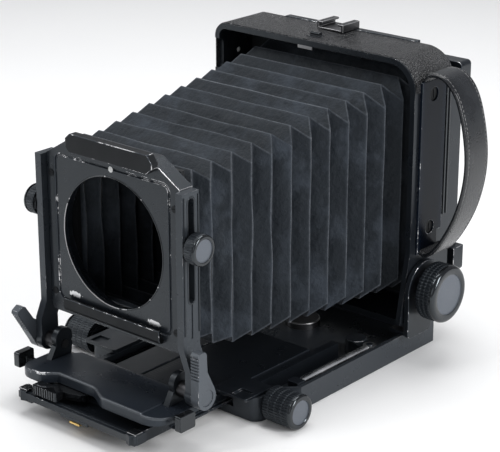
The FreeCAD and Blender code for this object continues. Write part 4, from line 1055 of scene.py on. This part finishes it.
def make_stage():
    """Lay the pale floor and backdrop, set the view and light it."""
    view = bpy.context.scene.field_camera_stage
    low, high = Vector(CAD_BOUNDS[0]), Vector(CAD_BOUNDS[1])
    # floor and backdrop in one sheet: flat, then a quarter circle, then upright
    flat, bend, tall = 2.2, 0.9, 2.0
    arc = np.linspace(0, math.pi / 2, 24)
    run = np.concatenate([[-2.5], np.linspace(-1.0, flat, 10), flat + bend * np.sin(arc), [flat + bend]])
    rise = np.concatenate([[0.0], np.zeros(10), bend * (1 - np.cos(arc)), [bend + tall]])
    across = np.linspace(-4.0, 4.0, 9)
    a = view.azimuth
    ahead = np.array([-math.sin(a), math.cos(a)])
    side = np.array([math.cos(a), math.sin(a)])
    points = np.empty((len(run), len(across), 3))
    points[..., 0] = run[:, None] * ahead[0] + across * side[0]
    points[..., 1] = run[:, None] * ahead[1] + across * side[1]
    points[..., 2] = rise[:, None] + min(0.0, low.z) - 0.0002
    paper, principled, add, link = shader("pale_paper")
    blotch = noise(add, link, coordinates(add, link), 3, 3)
    tone = ramp(add, link, blotch, (0.3, scaled(view.floor, 0.985)), (0.7, tuple(view.floor)))
    link(tone, principled.inputs["Base Color"])
    principled.inputs["Roughness"].default_value = 0.6
    sheet = surface("floor", points, finishes=[paper], seal=False)

    eye = bpy.data.cameras.new("view")
    eye.sensor_width = 36.0
    eye.sensor_fit = "HORIZONTAL"
    eye.lens = view.lens
    eye.clip_end = 20
    station = in_scene("view", eye)
    e = view.elevation
    back = Vector((math.sin(a) * math.cos(e), -math.cos(a) * math.cos(e), math.sin(e)))
    station.location = Vector(view.aim) + back * view.distance
    station.rotation_euler = back.to_track_quat("Z", "Y").to_euler()
    bpy.context.scene.camera = station

    middle = (low + high) / 2

    def soft_light(name, direction, reach, size, power):
        lamp = bpy.data.lights.new(name, "AREA")
        lamp.shape = "RECTANGLE"
        lamp.size, lamp.size_y = size
        lamp.energy = power
        holder = in_scene(name, lamp)
        away = Vector(direction).normalized()
        holder.location = middle + away * reach
        holder.rotation_euler = away.to_track_quat("Z", "Y").to_euler()

    for name, settings in LIGHTS.items():
        soft_light(name, *settings)

    world = bpy.data.worlds.new("studio")
    world.use_nodes = True
    glow = world.node_tree.nodes["Background"].inputs
    glow["Color"].default_value = (0.93, 0.95, 1.0, 1)
    glow["Strength"].default_value = 0.32
    bpy.context.scene.world = world
    bpy.context.scene.view_settings.view_transform = "Standard"


# ---------------------------------------------------------------- operators
class FIELDCAM_OT_metalwork(bpy.types.Operator):
    """Finish the cast and machined parts, with their edges broken and worn"""

    bl_idname = "fieldcam.metalwork"
    bl_label = "Metalwork"

    def execute(self, context):
        for (face, edge), nodes in METALWORK.items():
            for node in nodes:
                finished_copy(node, face, edge)
        for finish, nodes in PLAIN_NODES.items():
            for node in nodes:
                mesh = frame["nodes"][node].data
                mesh.materials.clear()
                mesh.materials.append(FINISH[finish])
        return {"FINISHED"}


class FIELDCAM_OT_bellows(bpy.types.Operator):
    """Build the pleated cloth bellows, one stretch for each listed run of folds"""

    bl_idname = "fieldcam.bellows"
    bl_label = "Bellows"

    def execute(self, context):
        for node, (first, last, rear_body, front_body) in BELLOWS.items():
            make_bellows_piece(node, first, last)
        return {"FINISHED"}


class FIELDCAM_OT_knobs(bpy.types.Operator):
    """Turn the six knurled knobs"""

    bl_idname = "fieldcam.knobs"
    bl_label = "Knobs"

    def execute(self, context):
        for pair, sizes in KNOBS.items():
            for side in ("right", "left"):
                make_knob("%s_%s" % (pair, side), *sizes)
        return {"FINISHED"}


class FIELDCAM_OT_hand_strap(bpy.types.Operator):
    """Build the leather hand strap and its two rows of stitches"""

    bl_idname = "fieldcam.hand_strap"
    bl_label = "Hand Strap"

    def execute(self, context):
        make_strap()
        return {"FINISHED"}


class FIELDCAM_OT_covering(bpy.types.Operator):
    """Lay the pebbled covering over the case"""

    bl_idname = "fieldcam.covering"
    bl_label = "Case Covering"

    def execute(self, context):
        make_covering()
        return {"FINISHED"}


class FIELDCAM_OT_marks(bpy.types.Operator):
    """Add the centre dot, the focusing scale and the lens opening's turned edge"""

    bl_idname = "fieldcam.marks"
    bl_label = "Marks"

    def execute(self, context):
        make_panel_dot()
        make_track_scale()
        make_lens_rim()
        return {"FINISHED"}


class FIELDCAM_OT_fittings(bpy.types.Operator):
    """Cast the base cover and add the rims, ribs, clips and small fittings"""

    bl_idname = "fieldcam.fittings"
    bl_label = "Cover and Fittings"

    def execute(self, context):
        make_base_cover()
        make_slot_rims()
        make_case_fittings()
        make_track_corners()
        return {"FINISHED"}


class FIELDCAM_OT_stage(bpy.types.Operator):
    """Set the floor, the view and the lights"""

    bl_idname = "fieldcam.stage"
    bl_label = "Stage"

    def execute(self, context):
        make_stage()
        return {"FINISHED"}


class FIELDCAM_PT_panel(bpy.types.Panel):
    """Lists the camera's settings and building steps"""

    bl_label = "Field Camera"
    bl_space_type = "VIEW_3D"
    bl_region_type = "UI"
    bl_category = "Field Camera"

    def draw(self, context):
        for group in ("field_camera_sizes", "field_camera_finishes", "field_camera_stage"):
            settings = getattr(context.scene, group)
            box = self.layout.box()
            for name in settings.__annotations__:
                box.prop(settings, name)
        for step in STEPS:
            self.layout.operator(step.bl_idname)


STEPS = (FIELDCAM_OT_metalwork, FIELDCAM_OT_bellows, FIELDCAM_OT_knobs, FIELDCAM_OT_hand_strap,
         FIELDCAM_OT_covering, FIELDCAM_OT_marks, FIELDCAM_OT_fittings, FIELDCAM_OT_stage)
GROUPS = {"field_camera_finishes": CameraFinishes, "field_camera_sizes": CameraSizes,
          "field_camera_stage": CameraStage}


def register():
    for group in GROUPS.values():
        bpy.utils.register_class(group)
    for name, group in GROUPS.items():
        setattr(bpy.types.Scene, name, bpy.props.PointerProperty(type=group))
    for step in STEPS:
        bpy.utils.register_class(step)
    bpy.utils.register_class(FIELDCAM_PT_panel)


def unregister():
    bpy.utils.unregister_class(FIELDCAM_PT_panel)
    for step in reversed(STEPS):
        bpy.utils.unregister_class(step)
    for name, group in GROUPS.items():
        delattr(bpy.types.Scene, name)
        bpy.utils.unregister_class(group)


def main():
    register()
    make_finishes()
    for step in STEPS:
        getattr(bpy.ops.fieldcam, step.bl_idname.split(".")[1])()


if __name__ == "__main__":
    main()
